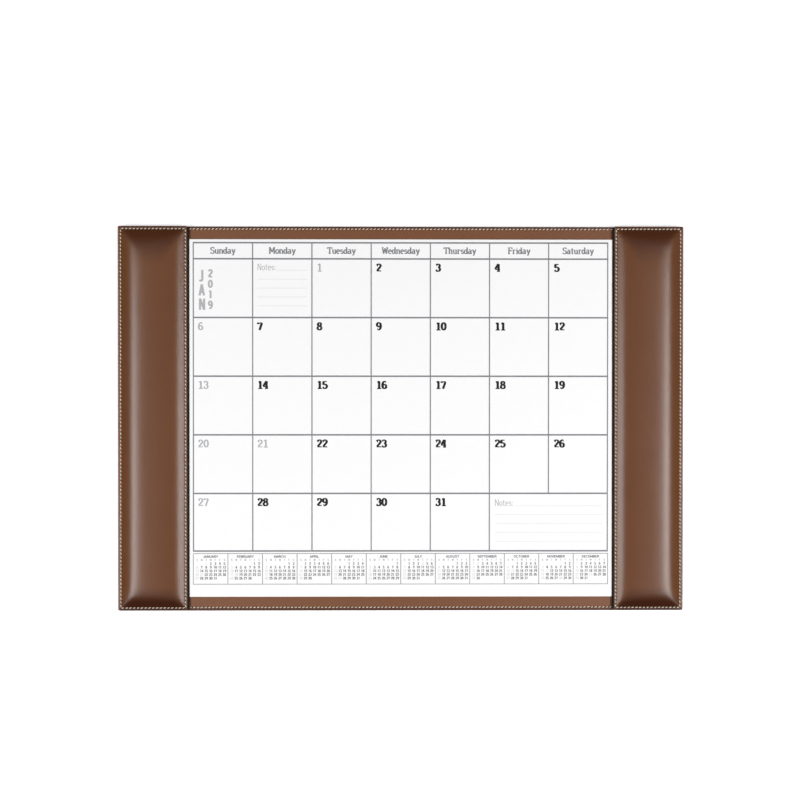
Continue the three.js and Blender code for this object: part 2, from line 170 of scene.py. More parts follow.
def share_setting(name, description, default):
    return FloatProperty(name=name, description=description, min=0, max=1, default=default)


class LeatherSettings(bpy.types.PropertyGroup):
    """Colour and surface of the leather."""

    colour: colour_setting(
        "Leather colour", "Colour of the leather on the rails and the base", (0.176, 0.06, 0.0185))
    # The crease colour is the grain's own dark, and also the painted shade along the seams.
    crease_colour: colour_setting(
        "Crease colour", "Colour deep in the grain and along the seams", (0.03, 0.009, 0.003))
    # Painted shade on the end ramps of the rails; also the colour of the darker outer edge of the base.
    burnish_colour: colour_setting(
        "Burnish colour", "Colour of the darker dye on the ends of the rails", (0.04, 0.008, 0.002))
    # Painted shadow: near-black on the rails' inner edges, standing for the shadow in the gap under them.
    edge_colour: colour_setting(
        "Edge colour", "Colour of the paint on the inner edges of the rails", (0.004, 0.0015, 0.0008))
    grain: length_setting(
        "Grain size", "Width of one pebble of the grain",
        0.0009, 0.0002, 0.01)
    rail_roughness: share_setting("Rail roughness", "Roughness of the polished leather on the rails", 0.3)
    base_roughness: share_setting("Base roughness", "Roughness of the flat leather on the base", 0.48)


class RailSettings(bpy.types.PropertyGroup):
    """Shape of the padding in the side rails."""

    outer_rise: length_setting(
        "Outer rise", "Distance over which the padding rises from the outer seam",
        0.016, 0.002, 0.05)
    inner_rise: length_setting(
        "Inner rise", "Distance over which the padding would rise to its full height from the inner seam",
        0.0162, 0.002, 0.05)
    end_rise: length_setting(
        "End rise", "Distance over which the padding rises from the end seams",
        0.016, 0.002, 0.05)
    fall: share_setting(
        "Fall", "Share of its height that the padding loses from the outer to the inner seam", 0.32)
    seam_depth: length_setting(
        "Seam depth", "How far the thread pulls the leather down",
        0.0005, 0, 0.001)
    unevenness: length_setting(
        "Unevenness", "Height of the slow waves in the padding",
        0.00006, 0, 0.001)


class ThreadSettings(bpy.types.PropertyGroup):
    """Thread of the seams."""

    colour: colour_setting(
        "Thread colour", "Colour of the thread", (0.79, 0.69, 0.555))
    thickness: length_setting(
        "Thread thickness", "Width of one stitch",
        0.00122, 0.0003, 0.002)
    slant: FloatProperty(
        name="Slant",
        description="Angle between a stitch and its seam",
        subtype="ANGLE",
        min=0,
        max=0.5,
        default=0.3,
    )


class PrintSettings(bpy.types.PropertyGroup):
    """Inks of the calendar."""

    black: colour_setting(
        "Black ink", "Colour of the day numbers", (0.006, 0.006, 0.007))
    rule_grey: colour_setting(
        "Rule grey", "Colour of the month grid", (0.21, 0.215, 0.23))
    light_grey: colour_setting(
        "Light grey", "Colour of the month, the year and the Sunday numbers", (0.43, 0.435, 0.45))
    faint_grey: colour_setting(
        "Faint grey", "Colour of the writing lines", (0.74, 0.74, 0.75))
    first_weekday: IntProperty(
        name="First weekday",
        description="Weekday of the first of January, counted from Sunday as 0",
        min=0,
        max=6,
        default=FIRST_WEEKDAY,
    )


class StageSettings(bpy.types.PropertyGroup):
    """Camera and studio light."""

    camera_height: length_setting(
        "Camera height", "Height of the camera above the desk",
        1.5367, 0.5, 5)
    lens: FloatProperty(
        name="Lens",
        description="Focal length of the camera in millimetres",
        min=20,
        max=200,
        default=60,
    )
    side_power: FloatProperty(
        name="Side light power",
        description="Power of each side softbox in watts",
        min=0,
        max=200,
        default=23.3,
    )
    sky: FloatProperty(
        name="Overhead light",
        description="Brightness of the soft light from above",
        min=0,
        max=5,
        default=0.45,
    )


class DeskPadSettings(bpy.types.PropertyGroup):
    """Everything that a user would change."""

    leather: PointerProperty(type=LeatherSettings)
    rail: PointerProperty(type=RailSettings)
    thread: PointerProperty(type=ThreadSettings)
    print: PointerProperty(type=PrintSettings)
    stage: PointerProperty(type=StageSettings)


def settings():
    """The values in the sidebar."""
    return bpy.context.scene.desk_pad


# Meshes from arrays


def grid_faces(rows, columns, closed=False):
    """Quads of a grid that is stored row by row; closed joins its last column to its first."""
    steps = columns if closed else columns - 1
    column, row = np.meshgrid(np.arange(steps), np.arange(rows - 1))
    a = row * columns + column
    b = row * columns + (column + 1) % columns
    return np.stack([a, b, b + columns, a + columns], axis=-1).reshape(-1, 4)


def make_piece(name, points, faces, material, smooth=True, marks=None, weld=0.0):
    """An object from points in millimetres and quads. marks are named numbers, one for each point.
    Points closer together than weld, in millimetres, become one."""
    mesh = bpy.data.meshes.new(name)
    mesh.from_pydata((np.asarray(points) * MM).tolist(), [], np.asarray(faces).tolist())
    for mark, values in (marks or {}).items():
        layer = mesh.attributes.new(mark, "FLOAT", "POINT")
        layer.data.foreach_set("value", np.asarray(values, np.float32).ravel())
    if weld > 0:
        work = bmesh.new()
        work.from_mesh(mesh)
        bmesh.ops.remove_doubles(work, verts=work.verts, dist=weld * MM)
        work.to_mesh(mesh)
        work.free()
    mesh.polygons.foreach_set("use_smooth", np.full(len(mesh.polygons), smooth))
    mesh.update()
    piece = bpy.data.objects.new(name, mesh)
    bpy.context.scene.collection.objects.link(piece)
    mesh.materials.append(material)
    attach(piece, BODY)
    return piece


def rounded_loop(half_x, half_y, radius, x_stops, y_stops, corner_steps=6):
    """Points of a rectangle with round corners, anticlockwise from above, with stops along its sides:
    each side is straight between the corners' centres and each corner is a quarter circle."""
    core = np.array([half_x - radius, half_y - radius])
    corners = []
    for quarter in range(4):
        angle = np.linspace(0, np.pi / 2, corner_steps + 1)[1:-1] + (quarter - 1) * np.pi / 2
        sign = np.array([1 if quarter in (0, 1) else -1, 1 if quarter in (1, 2) else -1])
        corners.append(core * sign + radius * np.stack([np.cos(angle), np.sin(angle)], axis=1))
    foot = np.stack([x_stops, np.full(len(x_stops), -half_y)], axis=1)
    right = np.stack([np.full(len(y_stops), half_x), y_stops], axis=1)
    head = foot[::-1] * [1, -1]
    left = right[::-1] * [-1, 1]
    return np.concatenate([foot, corners[0], right, corners[1], head, corners[2], left, corners[3]])


def outward(loop, half_x, half_y, radius):
    """Direction out of the round-cornered rectangle at each point of its outline."""
    core = np.array([half_x - radius, half_y - radius])
    away = loop - np.clip(loop, -core, core)
    return away / np.linalg.norm(away, axis=1, keepdims=True)


def inset_loop(loop, half_x, half_y, radius, inset):
    """The outline drawn in by inset: along its normals as far as the corners are round, and beyond
    that cut to the smaller rectangle, down to a line along the middle."""
    moved = loop - outward(loop, half_x, half_y, radius) * min(inset, radius)
    limit = np.maximum([half_x - inset, half_y - inset], 0)
    return np.clip(moved, -limit, limit)


def ring_points(loop, half_x, half_y, radius, steps):
    """Rows of points, one for each (inset, height), where height is a number or one for each point."""
    rows = []
    for inset, height in steps:
        ring = inset_loop(loop, half_x, half_y, radius, inset)
        rows.append(np.column_stack([ring, np.broadcast_to(height, len(ring))]))
    return np.concatenate(rows)


def quarter_edge(radius, height, from_angle, to_angle, steps):
    """(inset, height) along part of a round edge whose middle is at that height."""
    angles = np.radians(np.linspace(from_angle, to_angle, steps))
    return [(radius - radius * math.cos(a), height + radius * math.sin(a)) for a in angles]


def slow_waves(x, y, seed, length, height):
    """Gentle unevenness: a third of the sum of six sine waves in random directions, each about length
    long, times the height."""
    random = np.random.default_rng(seed)
    total = np.zeros(np.broadcast(x, y).shape)
    for _ in range(6):
        turn = random.uniform(0, np.pi)
        wave = length * random.uniform(0.7, 1.6)
        shift = random.uniform(0, 2 * np.pi)
        total += np.sin(2 * np.pi * (x * np.cos(turn) + y * np.sin(turn)) / wave + shift)
    return height * total / 3


# Material nodes


class Nodes:
    """Adds nodes to a new material, or to a given world, and links them."""

    def __init__(self, name, world=None):
        self.material = world or bpy.data.materials.new(name)
        self.material.use_nodes = True
        self.tree = self.material.node_tree
        self.shader = self.tree.nodes.get("Principled BSDF")

    def add(self, kind, inputs=None, **options):
        """A node; an input given as an output of another node is linked to it."""
        made = self.tree.nodes.new("ShaderNode" + kind)
        for option, value in options.items():
            setattr(made, option, value)
        for key, value in (inputs or {}).items():
            self.put(made.inputs[key], value)
        return made

    def put(self, socket, value):
        """Links a socket to another node's output, or gives it a plain value."""
        if isinstance(value, bpy.types.NodeSocket):
            self.tree.links.new(value, socket)
        else:
            socket.default_value = value

    def shade(self, **inputs):
        """Sets the shader's inputs, whose names are written with _ for a space."""
        for key, value in inputs.items():
            self.put(self.shader.inputs[key.replace("_", " ")], value)

    def place(self):
        """Object coordinates, in metres."""
        return self.add("TexCoord").outputs["Object"]

    def noise(self, scale, detail, vector, roughness=0.5):
        """Cloudy noise from 0 to 1."""
        inputs = {"Scale": scale, "Detail": detail, "Vector": vector, "Roughness": roughness}
        return self.add("TexNoise", inputs).outputs["Fac"]

    def remap(self, value, low, high, to_low=0.0, to_high=1.0):
        """Stretches low to high into to_low to to_high, and stops at both."""
        inputs = {0: value, 1: low, 2: high, 3: to_low, 4: to_high}
        return self.add("MapRange", inputs).outputs[0]

    def math(self, operation, a, b):
        return self.add("Math", {0: a, 1: b}, operation=operation).outputs[0]

    def blend(self, factor, a, b):
        """Colour a where factor is 0 and b where it is 1."""
        return self.add("Mix", {0: factor, 6: a, 7: b}, data_type="RGBA").outputs[2]

    def mark(self, name):
        """A mark that a piece carries on its points."""
        return self.add("Attribute", attribute_name=name).outputs["Fac"]

    def bump(self, height, distance, strength):
        """A normal from a height of 0 to 1, where distance is its depth in millimetres."""
        inputs = {"Height": height, "Distance": distance * MM, "Strength": strength}
        return self.add("Bump", inputs).outputs["Normal"]


def rgba(colour, level=1.0):
    """A colour made lighter or darker, with its alpha."""
    return (*(c * level for c in colour), 1.0)


def leather_material(name, roughness, level=1.0, mottle=0.12):
    """Smooth leather: fine uneven pebbles with darker creases and cloudy dye, with painted shade along its
    seams and on the rails' end ramps, wear and a painted highlight on its rounded edges, a darker outer edge
    on the base, and a painted shadow on the rails' inner edges.
    """
    look = settings().leather
    n = Nodes(name)
    place = n.place()
    cloud = n.noise(14, 3.0, place)
    speckle = n.noise(620, 2.0, place)
    warp = n.add("TexNoise", {"Vector": place, "Scale": 500.0, "Detail": 1.0}).outputs["Color"]
    warped = n.add("VectorMath", {0: warp, 1: (0.0006,) * 3}, operation="MULTIPLY").outputs[0]
    bent = n.add("VectorMath", {0: place, 1: warped}, operation="ADD").outputs[0]
    pebble = n.add(
        "TexVoronoi", {"Vector": bent, "Scale": 1 / look.grain}, feature="DISTANCE_TO_EDGE")
    raised = n.remap(pebble.outputs["Distance"], 0.0, 0.22)
    fine = n.noise(5200, 2.0, place)
    height = n.math("ADD", raised, n.math("MULTIPLY", fine, 0.35))
    dyed = n.blend(cloud, rgba(look.colour, 0.9 * level), rgba(look.colour, 1.08 * level))
    flecked = n.blend(n.remap(speckle, 0.3, 0.8, 0.0, mottle), dyed, rgba(look.colour, 0.55 * level))
    creased = n.blend(n.remap(raised, 0.0, 0.7, 0.2, 0.0), flecked, rgba(look.crease_colour))
    # Painted shade along the seams: darker in the seam grooves, where shade falls.
    seam_shaded = n.blend(n.mark("seam"), creased, rgba(look.crease_colour))
    # Lighter on the rounded edges: partly wear, partly a painted highlight where the edges catch the side
    # lights.
    wear_and_highlight = n.blend(n.math("MULTIPLY", n.mark("wear_and_highlight"), 0.22), seam_shaded, rgba(look.colour, 2.1))
    # Painted shade on the rails' end ramps, stronger at the foot, and the darker outer edge of the base.
    shaded_and_darkened = n.blend(n.math("MULTIPLY", n.mark("burnish"), 0.72), wear_and_highlight, rgba(look.burnish_colour))
    # Painted shadow on the rails' inner edges, made rough below so that it shows no reflection.
    painted = n.blend(n.mark("edge_shadow"), shaded_and_darkened, rgba(look.edge_colour))
    uneven = n.remap(n.noise(60, 2.0, place), 0.0, 1.0, roughness - 0.03, roughness + 0.03)
    rough = n.math("ADD", uneven, n.math("MULTIPLY", n.mark("edge_shadow"), 0.6))
    n.shade(
        Base_Color=painted,
        Roughness=rough,
        Normal=n.bump(height, 0.04, 0.4),
        Specular_IOR_Level=0.5,
    )
    return n.material


def thread_material():
    """Twisted thread: slanting plies over the stitches, and dye that varies from stitch to stitch."""
    look = settings().thread
    n = Nodes("thread_twisted_cream")
    place = n.place()
    ply = n.add(
        "TexWave",
        {"Vector": place, "Scale": 330.0, "Distortion": 1.2, "Detail": 1.0, "Detail Scale": 2.0},
        bands_direction="DIAGONAL",
    ).outputs["Fac"]
    fibre = n.noise(6000, 2.0, place)
    height = n.math("ADD", ply, n.math("MULTIPLY", fibre, 0.4))
    tone = n.blend(n.noise(230, 1.0, place), rgba(look.colour, 0.84), rgba(look.colour, 1.12))
    colour = n.blend(n.remap(ply, 0.0, 0.6, 0.45, 0.0), tone, rgba(look.colour, 0.55))
    n.shade(
        Base_Color=colour,
        Roughness=0.68,
        Normal=n.bump(height, 0.12, 0.7),
        Sheen_Weight=0.15,
    )
    return n.material


def felt_material():
    """Pressed felt: tangled fibres of a dark brown, lighter and darker in patches."""
    n = Nodes("felt_pressed_dark_brown")
    place = n.place()
    tangle = n.noise(1900, 5.0, place, 0.7)
    patch = n.noise(45, 3.0, place)
    height = n.math("ADD", tangle, n.math("MULTIPLY", n.noise(450, 3.0, place), 0.8))
    tone = n.blend(patch, (0.022, 0.014, 0.009, 1.0), (0.036, 0.023, 0.016, 1.0))
    colour = n.blend(n.remap(tangle, 0.45, 0.8), tone, (0.085, 0.06, 0.045, 1.0))
    n.shade(
        Base_Color=colour,
        Roughness=0.97,
        Normal=n.bump(height, 0.35, 0.8),
        Sheen_Weight=0.25,
        Sheen_Roughness=0.6,
    )
    return n.material


def lining_material():
    """Plain woven lining: crossed bands of fine yarns, darkened to near-black as painted shade for the gap
    under the rails' inner edges.
    """
    n = Nodes("lining_woven_dark")
    place = n.place()
    warp = n.add("TexWave", {"Vector": place, "Scale": 400.0}, bands_direction="X").outputs["Fac"]
    weft = n.add("TexWave", {"Vector": place, "Scale": 400.0}, bands_direction="Y").outputs["Fac"]
    weave = n.math("MAXIMUM", warp, weft)
    slub = n.noise(160, 3.0, place)
    tone = n.blend(slub, (0.009, 0.005, 0.004, 1.0), (0.016, 0.009, 0.007, 1.0))
    colour = n.blend(n.remap(weave, 0.2, 0.8, 0.6, 0.0), tone, (0.005, 0.003, 0.002, 1.0))
    n.shade(Base_Color=colour, Roughness=0.85, Normal=n.bump(weave, 0.1, 0.8))
    return n.material


def board_material(name, pale, dark, fleck):
    """Pressed board: short fibres, grey or brown flecks and a slightly rough face."""
    n = Nodes(name)
    place = n.place()
    fibre = n.noise(900, 6.0, place, 0.65)
    flecks = n.noise(350, 2.0, place)
    base = n.blend(fibre, rgba(dark), rgba(pale))
    colour = n.blend(n.remap(flecks, 0.66, 0.72, 0.0, 0.7), base, rgba(fleck))
    n.shade(Base_Color=colour, Roughness=0.92, Normal=n.bump(fibre, 0.06, 0.7))
    return n.material


def foam_material():
    """Open foam: rounded cells in a pale yellow."""
    n = Nodes("foam_open_cell")
    place = n.place()
    cells = n.add("TexVoronoi", {"Vector": place, "Scale": 1400.0}).outputs["Distance"]
    colour = n.blend(cells, (0.5, 0.42, 0.24, 1.0), (0.75, 0.68, 0.48, 1.0))
    n.shade(Base_Color=colour, Roughness=0.95, Normal=n.bump(cells, 0.3, 0.7))
    return n.material


def gum_material():
    """Dried padding gum: a smooth pale film that is thicker in places."""
    n = Nodes("gum_dried_film")
    place = n.place()
    streak = n.noise(300, 3.0, place)
    colour = n.blend(streak, (0.74, 0.71, 0.64, 1.0), (0.86, 0.84, 0.79, 1.0))
    rough = n.remap(streak, 0.3, 0.7, 0.3, 0.5)
    n.shade(Base_Color=colour, Roughness=rough, Normal=n.bump(streak, 0.08, 0.6))
    return n.material


def paper_material():
    """Bright white uncoated paper with a faint fibre texture."""
    n = Nodes("paper_bright_white")
    place = n.place()
    fibre = n.noise(1500, 5.0, place, 0.6)
    cloud = n.noise(120, 2.0, place)
    colour = n.blend(cloud, (0.925, 0.92, 0.925, 1.0), (0.945, 0.94, 0.945, 1.0))
    rough = n.remap(fibre, 0.3, 0.7, 0.78, 0.9)
    n.shade(
        Base_Color=colour,
        Roughness=rough,
        Normal=n.bump(fibre, 0.012, 0.6),
        Specular_IOR_Level=0.3,
    )
    return n.material


def ink_material(name, colour):
    """Printed ink: nearly flat, with a little more paper showing where its cover is thin."""
    n = Nodes(name)
    place = n.place()
    cover = n.noise(2600, 3.0, place)
    tone = n.blend(n.remap(cover, 0.3, 0.75), rgba(colour, 0.94), rgba(colour, 1.1))
    rough = n.remap(cover, 0.3, 0.7, 0.55, 0.7)
    n.shade(Base_Color=tone, Roughness=rough, Specular_IOR_Level=0.3)
    return n.material


# Stitches


def stitch_run(starts, ends, height):
    """Points and faces of one stitch from each start to each end: an arched spindle whose thickness is
    a power of the sine along it, turned a little off the seam, that dives into the leather at its tips."""
    look = settings().thread
    rings = 8
    sides = 6
    tip = 0.2
    bluntness = 0.42
    flatness = 0.85
    arch_height = 0.55
    arch_bluntness = 0.8
    along = np.linspace(0, 1, rings)
    around = np.linspace(0, 2 * np.pi, sides, endpoint=False)
    middle = (starts + ends) / 2
    run = ends - starts
    length = np.linalg.norm(run, axis=1, keepdims=True)
    direction = run / length
    turn = look.slant
    turned = np.stack([
        direction[:, 0] * math.cos(turn) - direction[:, 1] * math.sin(turn),
        direction[:, 0] * math.sin(turn) + direction[:, 1] * math.cos(turn),
    ], axis=1)
    across = np.stack([-turned[:, 1], turned[:, 0]], axis=1)
    swell = np.sin(np.pi * along) ** bluntness
    reach = (along - 0.5) * (1 - tip)
    radius = look.thickness / MM / 2
    flat = middle[:, None, None, :] + turned[:, None, None, :] * (length * reach)[:, :, None, None]
    flat = flat + across[:, None, None, :] * (radius * swell[:, None] * np.cos(around))[None, :, :, None]
    arch = arch_height * radius * np.sin(np.pi * along) ** arch_bluntness
    up = arch[:, None] + flatness * radius * swell[:, None] * np.sin(around)
    count = len(starts)
    z = np.broadcast_to(height + up, (count, rings, sides))
    points = np.concatenate([flat, z[..., None]], axis=-1).reshape(-1, 3)
    one = grid_faces(rings, sides, closed=True)
    faces = (one[None] + (np.arange(count) * rings * sides)[:, None, None]).reshape(-1, 4)
    return points, faces


def seam_stops(corner_points, closed):
    """Needle holes along straight seams, evenly spaced in each: starts and ends of the stitches."""
    corners = np.array(corner_points, float)
    pairs = list(zip(corners, np.roll(corners, -1, axis=0)))
    if not closed:
        pairs = pairs[:-1]
    starts = []
    ends = []
    for a, b in pairs:
        count = round(np.linalg.norm(b - a) / SEAM_PITCH)
        stops = a + (b - a) * np.linspace(0, 1, count + 1)[:, None]
        starts.append(stops[:-1])
        ends.append(stops[1:])
    return np.concatenate(starts), np.concatenate(ends)


# Lettering

# Each figure has its width and its strokes on a box one high. A line has its points, an arc has its
# middle, its two radii and its angles, a bar is level and has its ends and its height, a foot is a level
# serif that plain letters leave out, and a dot is a round end that plain letters leave out too.
FIGURES = {
    "0": (0.60, "arc .3 .5 .215 .45 0 360"),
    "1": (0.60, "line .33 .99 .33 0, foot .1 .56 .035, line .13 .84 .33 .95"),
    "2": (0.60, "arc .29 .73 .2 .22 170 -35, line .46 .62 .09 .09, bar .06 .55 .07, dot .14 .73 .085"),
    "3": (0.60, "arc .27 .74 .19 .21 155 -90, arc .27 .28 .22 .24 90 -160, dot .13 .79 .075, "
                 "dot .12 .22 .085"),
    "4": (0.60, "line .41 .99 .41 0, line .38 .97 .05 .33, bar .03 .58 .29, foot .24 .57 .035"),
    "5": (0.60, "bar .13 .5 .93, line .15 .97 .13 .5, arc .28 .31 .23 .27 130 -155, dot .13 .2 .085"),
    "6": (0.60, "arc .36 .47 .27 .49 68 205, arc .31 .3 .2 .26 0 360, dot .45 .83 .075"),
    "7": (0.60, "bar .07 .54 .91, line .5 .9 .24 0, line .09 .97 .09 .76"),
    "8": (0.60, "arc .3 .74 .17 .2 0 360, arc .3 .27 .21 .235 0 360"),
    "9": (0.60, "arc .24 .53 .27 .49 248 385, arc .29 .7 .2 .26 0 360, dot .15 .17 .075"),
    "A": (0.56, "line .05 0 .28 1, line .28 1 .51 0, bar .14 .42 .3"),
    "F": (0.62, "line .16 .98 .16 .02, bar .03 .56 .95, bar .16 .42 .51, foot .03 .31 .035, "
                 "line .56 .98 .56 .76, line .41 .62 .41 .4"),
    "J": (0.42, "line .34 1 .34 .2, arc .19 .2 .15 .16 0 -150"),
    "M": (0.86, "line .14 .98 .14 .02, line .16 .98 .43 .25, line .43 .25 .7 .98, "
                 "line .72 .98 .72 .02, foot .02 .26 .035, foot .6 .84 .035, foot .02 .18 .965, "
                 "foot .68 .84 .965"),
    "N": (0.62, "line .1 1 .1 0, line .1 1 .52 0, line .52 0 .52 1"),
    "S": (0.58, "arc .28 .735 .2 .225 25 270, arc .29 .265 .215 .245 90 -155, line .46 .98 .46 .78, "
                 "line .09 .02 .09 .22"),
    "T": (0.64, "line .32 .98 .32 .02, bar .04 .6 .95, foot .17 .47 .035, line .04 .98 .04 .76, "
                 "line .6 .98 .6 .76"),
    "W": (0.86, "line .1 .98 .24 .02, line .24 .02 .43 .85, line .43 .85 .62 .02, "
                 "line .62 .02 .76 .98, foot 0 .24 .965, foot .62 .86 .965"),
    "a": (0.54, "arc .21 .2 .15 .17 0 360, line .38 .48 .38 .05, arc .23 .47 .15 .18 0 150, "
                 "foot .38 .5 .035"),
    "d": (0.56, "arc .22 .33 .17 .3 0 360, line .42 .98 .42 .02, foot .3 .42 .965, foot .42 .54 .035"),
    "e": (0.50, "arc .24 .33 .18 .31 0 315, bar .08 .4 .36"),
    "h": (0.58, "line .12 .98 .12 .02, arc .28 .44 .16 .2 180 0, line .44 .44 .44 .02, "
                 "foot .02 .24 .035, foot .34 .56 .035, foot .01 .12 .965"),
    "i": (0.32, "line .17 .65 .17 .02, foot .05 .17 .635, foot .05 .29 .035, dot .16 .88 .08"),
    "n": (0.58, "line .12 .65 .12 .02, arc .28 .44 .16 .2 180 0, line .44 .44 .44 .02, "
                 "foot .02 .24 .035, foot .34 .56 .035, foot .01 .12 .635"),
    "o": (0.52, "arc .26 .33 .19 .31 0 360"),
    "r": (0.46, "line .14 .65 .14 .02, arc .3 .42 .16 .21 180 60, foot .02 .28 .035, "
                 "foot .02 .14 .635, dot .38 .58 .065"),
    "s": (0.46, "arc .22 .48 .14 .145 25 270, arc .23 .185 .155 .15 90 -155"),
    "t": (0.40, "line .16 .88 .16 .14, arc .26 .15 .1 .12 180 310, bar .03 .34 .635"),
    "u": (0.58, "line .12 .65 .12 .22, arc .28 .22 .16 .19 180 360, line .44 .65 .44 .02, "
                 "foot .01 .12 .635, foot .33 .44 .635, foot .44 .56 .035"),
    "y": (0.54, "line .08 .65 .28 .04, line .46 .65 .2 -.22, foot 0 .19 .635, foot .36 .54 .635, "
                 "dot .13 -.2 .075"),
    ":": (0.26, "dot .12 .56 .07, dot .12 .08 .07"),
}

# Plain capitals for the small months
CAPITALS = {
    "A": FIGURES["A"],
    "B": (0.56, "line .1 0 .1 1, bar .1 .34 .95, bar .1 .34 .52, bar .1 .34 .05, "
                 "arc .34 .735 .14 .22 90 -90, arc .34 .285 .16 .235 90 -90"),
    "C": (0.58, "arc .33 .5 .25 .47 50 310"),
    "D": (0.60, "line .1 0 .1 1, arc .12 .5 .4 .46 90 -90"),
    "E": (0.50, "line .1 0 .1 1, bar .1 .46 .95, bar .1 .42 .52, bar .1 .46 .05"),
    "F": (0.48, "line .1 0 .1 1, bar .1 .46 .95, bar .1 .42 .5"),
    "G": (0.62, "arc .33 .5 .25 .47 50 335, bar .34 .58 .42"),
    "H": (0.60, "line .1 0 .1 1, line .5 0 .5 1, bar .1 .5 .5"),
    "I": (0.22, "line .11 0 .11 1"),
    "J": FIGURES["J"],
    "L": (0.46, "line .1 0 .1 1, bar .1 .44 .05"),
    "M": (0.72, "line .1 0 .1 1, line .1 1 .36 .1, line .36 .1 .62 1, line .62 1 .62 0"),
    "N": FIGURES["N"],
    "O": (0.64, "arc .32 .5 .25 .46 0 360"),
    "P": (0.54, "line .1 0 .1 1, bar .1 .32 .95, bar .1 .32 .45, arc .32 .7 .15 .25 90 -90"),
    "R": (0.56, "line .1 0 .1 1, bar .1 .32 .95, bar .1 .32 .5, arc .32 .725 .15 .225 90 -90, "
                 "line .3 .48 .5 0"),
    "S": (0.52, "arc .26 .735 .19 .22 25 270, arc .26 .275 .2 .24 90 -155"),
    "T": (0.54, "line .27 0 .27 1, bar .03 .51 .95"),
    "U": (0.60, "line .1 1 .1 .3, arc .3 .28 .2 .25 180 360, line .5 .3 .5 1"),
    "V": (0.54, "line .05 1 .27 0, line .27 0 .49 1"),
    "W": (0.80, "line .05 1 .22 0, line .22 0 .4 .9, line .4 .9 .58 0, line .58 0 .75 1"),
    "Y": (0.54, "line .04 1 .27 .48, line .5 1 .27 .48, line .27 .48 .27 0"),
}


class Pen(NamedTuple):
    """A size and weight of lettering: its height, how far it is stretched, the widths of its upright and
    its level strokes as shares of its height, and the steps in a whole turn of a bend."""

    height: float
    stretch: float
    heavy: float
    light: float
    serifs: bool = True
    bends: int = 14
    letters: dict = FIGURES


BLACK_DAY = Pen(8.9, 1.17, 0.31, 0.14)
GREY_DAY = Pen(8.9, 1.17, 0.21, 0.12)
WEEKDAY_NAME = Pen(7.5, 1.14, 0.21, 0.115)
MONTH_LETTER = Pen(12.9, 0.86, 0.19, 0.17, serifs=False)
YEAR_DIGIT = Pen(8.8, 1.0, 0.25, 0.2, serifs=False)
NOTES_WORD = Pen(7.4, 1.06, 0.1, 0.085, serifs=False)
SMALL_NAME = Pen(2.7, 1.65, 0.27, 0.22, serifs=False, bends=8, letters=CAPITALS)
SMALL_INITIAL = Pen(2.1, 1.2, 0.27, 0.22, serifs=False, bends=8, letters=CAPITALS)
SMALL_DAY = Pen(2.9, 1.12, 0.27, 0.22, serifs=False, bends=8)


def strokes(letter, letters):
    """The strokes of a letter, each as the word for its kind and the list of its sizes."""
    for stroke in letters[letter][1].split(", "):
        kind, *sizes = stroke.split()
        yield kind, [float(size) for size in sizes]


class Print:
    """Gathers flat strokes of one ink on the top sheet and makes them one piece."""

    def __init__(self):
        self.points = []
        self.faces = []
        self.count = 0

    def stamp(self, flat, faces):
        """Adds a stroke a hair above the one before it, so that crossing strokes do not share a plane."""
        lift = INK_LIFT + INK_STEP * (len(self.points) % INK_LEVELS)
        self.points.append(np.column_stack([flat, np.full(len(flat), SHEET_TOP + lift)]))
        self.faces.append(np.asarray(faces) + self.count)
        self.count += len(flat)

    def rule(self, x0, x1, y0, y1):
        """A filled rectangle."""
        self.stamp(np.array([[x0, y0], [x1, y0], [x1, y1], [x0, y1]]), [[0, 1, 2, 3]])

    def ribbon(self, line, heavy, light):
        """A pen stroke along a line of points: its width goes from light where it runs level to heavy
        where it is upright, by the sine of its slope, and half of it lies on each side of the line."""
        step = np.gradient(line, axis=0)
        run = step / np.maximum(np.linalg.norm(step, axis=1, keepdims=True), 1e-9)
        width = light + (heavy - light) * np.abs(run[:, 1:])
        side = np.stack([-run[:, 1], run[:, 0]], axis=1) * width / 2
        count = len(line)
        a = np.arange(count - 1) + count
        faces = np.stack([a, a + 1, a + 1 - count, a - count], axis=1)
        self.stamp(np.concatenate([line + side, line - side]), faces)

    def disc(self, x, y, radius, sides=8):
        """A round spot, as an even fan of quads."""
        angle = np.linspace(0, 2 * np.pi, sides, endpoint=False)
        rim = np.stack([x + radius * np.cos(angle), y + radius * np.sin(angle)], axis=1)
        k = np.arange(0, sides, 2)
        faces = np.stack([np.full(len(k), sides), k, k + 1, (k + 2) % sides], axis=1)
        self.stamp(np.concatenate([rim, [[x, y]]]), faces)

    def figure(self, letter, left, foot, pen):
        """One letter or digit, with its left foot at (left, foot)."""
        scale = np.array([pen.height * pen.stretch, pen.height])
        for kind, sizes in strokes(letter, pen.letters):
            if kind == "line":
                line = np.array(sizes).reshape(-1, 2)
            elif kind == "arc":
                cx, cy, rx, ry, start, end = sizes
                steps = max(3, round(pen.bends * abs(end - start) / 360)) + 1
                angle = np.radians(np.linspace(start, end, steps))
                line = np.stack([cx + rx * np.cos(angle), cy + ry * np.sin(angle)], axis=1)
            elif kind == "dot" and (pen.serifs or letter in ":i"):
                x, y, radius = sizes
                self.disc(left + x * scale[0], foot + y * scale[1], radius * pen.height)
                continue
            elif kind == "bar" or (kind == "foot" and pen.serifs):
                x0, x1, y = sizes
                line = np.array([[x0, y], [x1, y]])
            else:
                continue
            placed = np.array([left, foot]) + line * scale
            self.ribbon(placed, pen.heavy * pen.height, pen.light * pen.height)

    def write(self, words, left, foot, pen):
        """A line of letters from left to right; returns where it ends."""
        for letter in words:
            self.figure(letter, left, foot, pen)
            left += pen.letters[letter][0] * pen.height * pen.stretch
        return left

    def centre(self, words, middle, foot, pen):
        """A line of letters about its middle."""
        width = sum(pen.letters[letter][0] for letter in words) * pen.height * pen.stretch
        self.write(words, middle - width / 2, foot, pen)

    def make(self, name, colour):
        material = ink_material("ink_" + name, colour)
        points = np.concatenate(self.points)
        return make_piece(name, points, np.concatenate(self.faces), material, smooth=False)


# Base


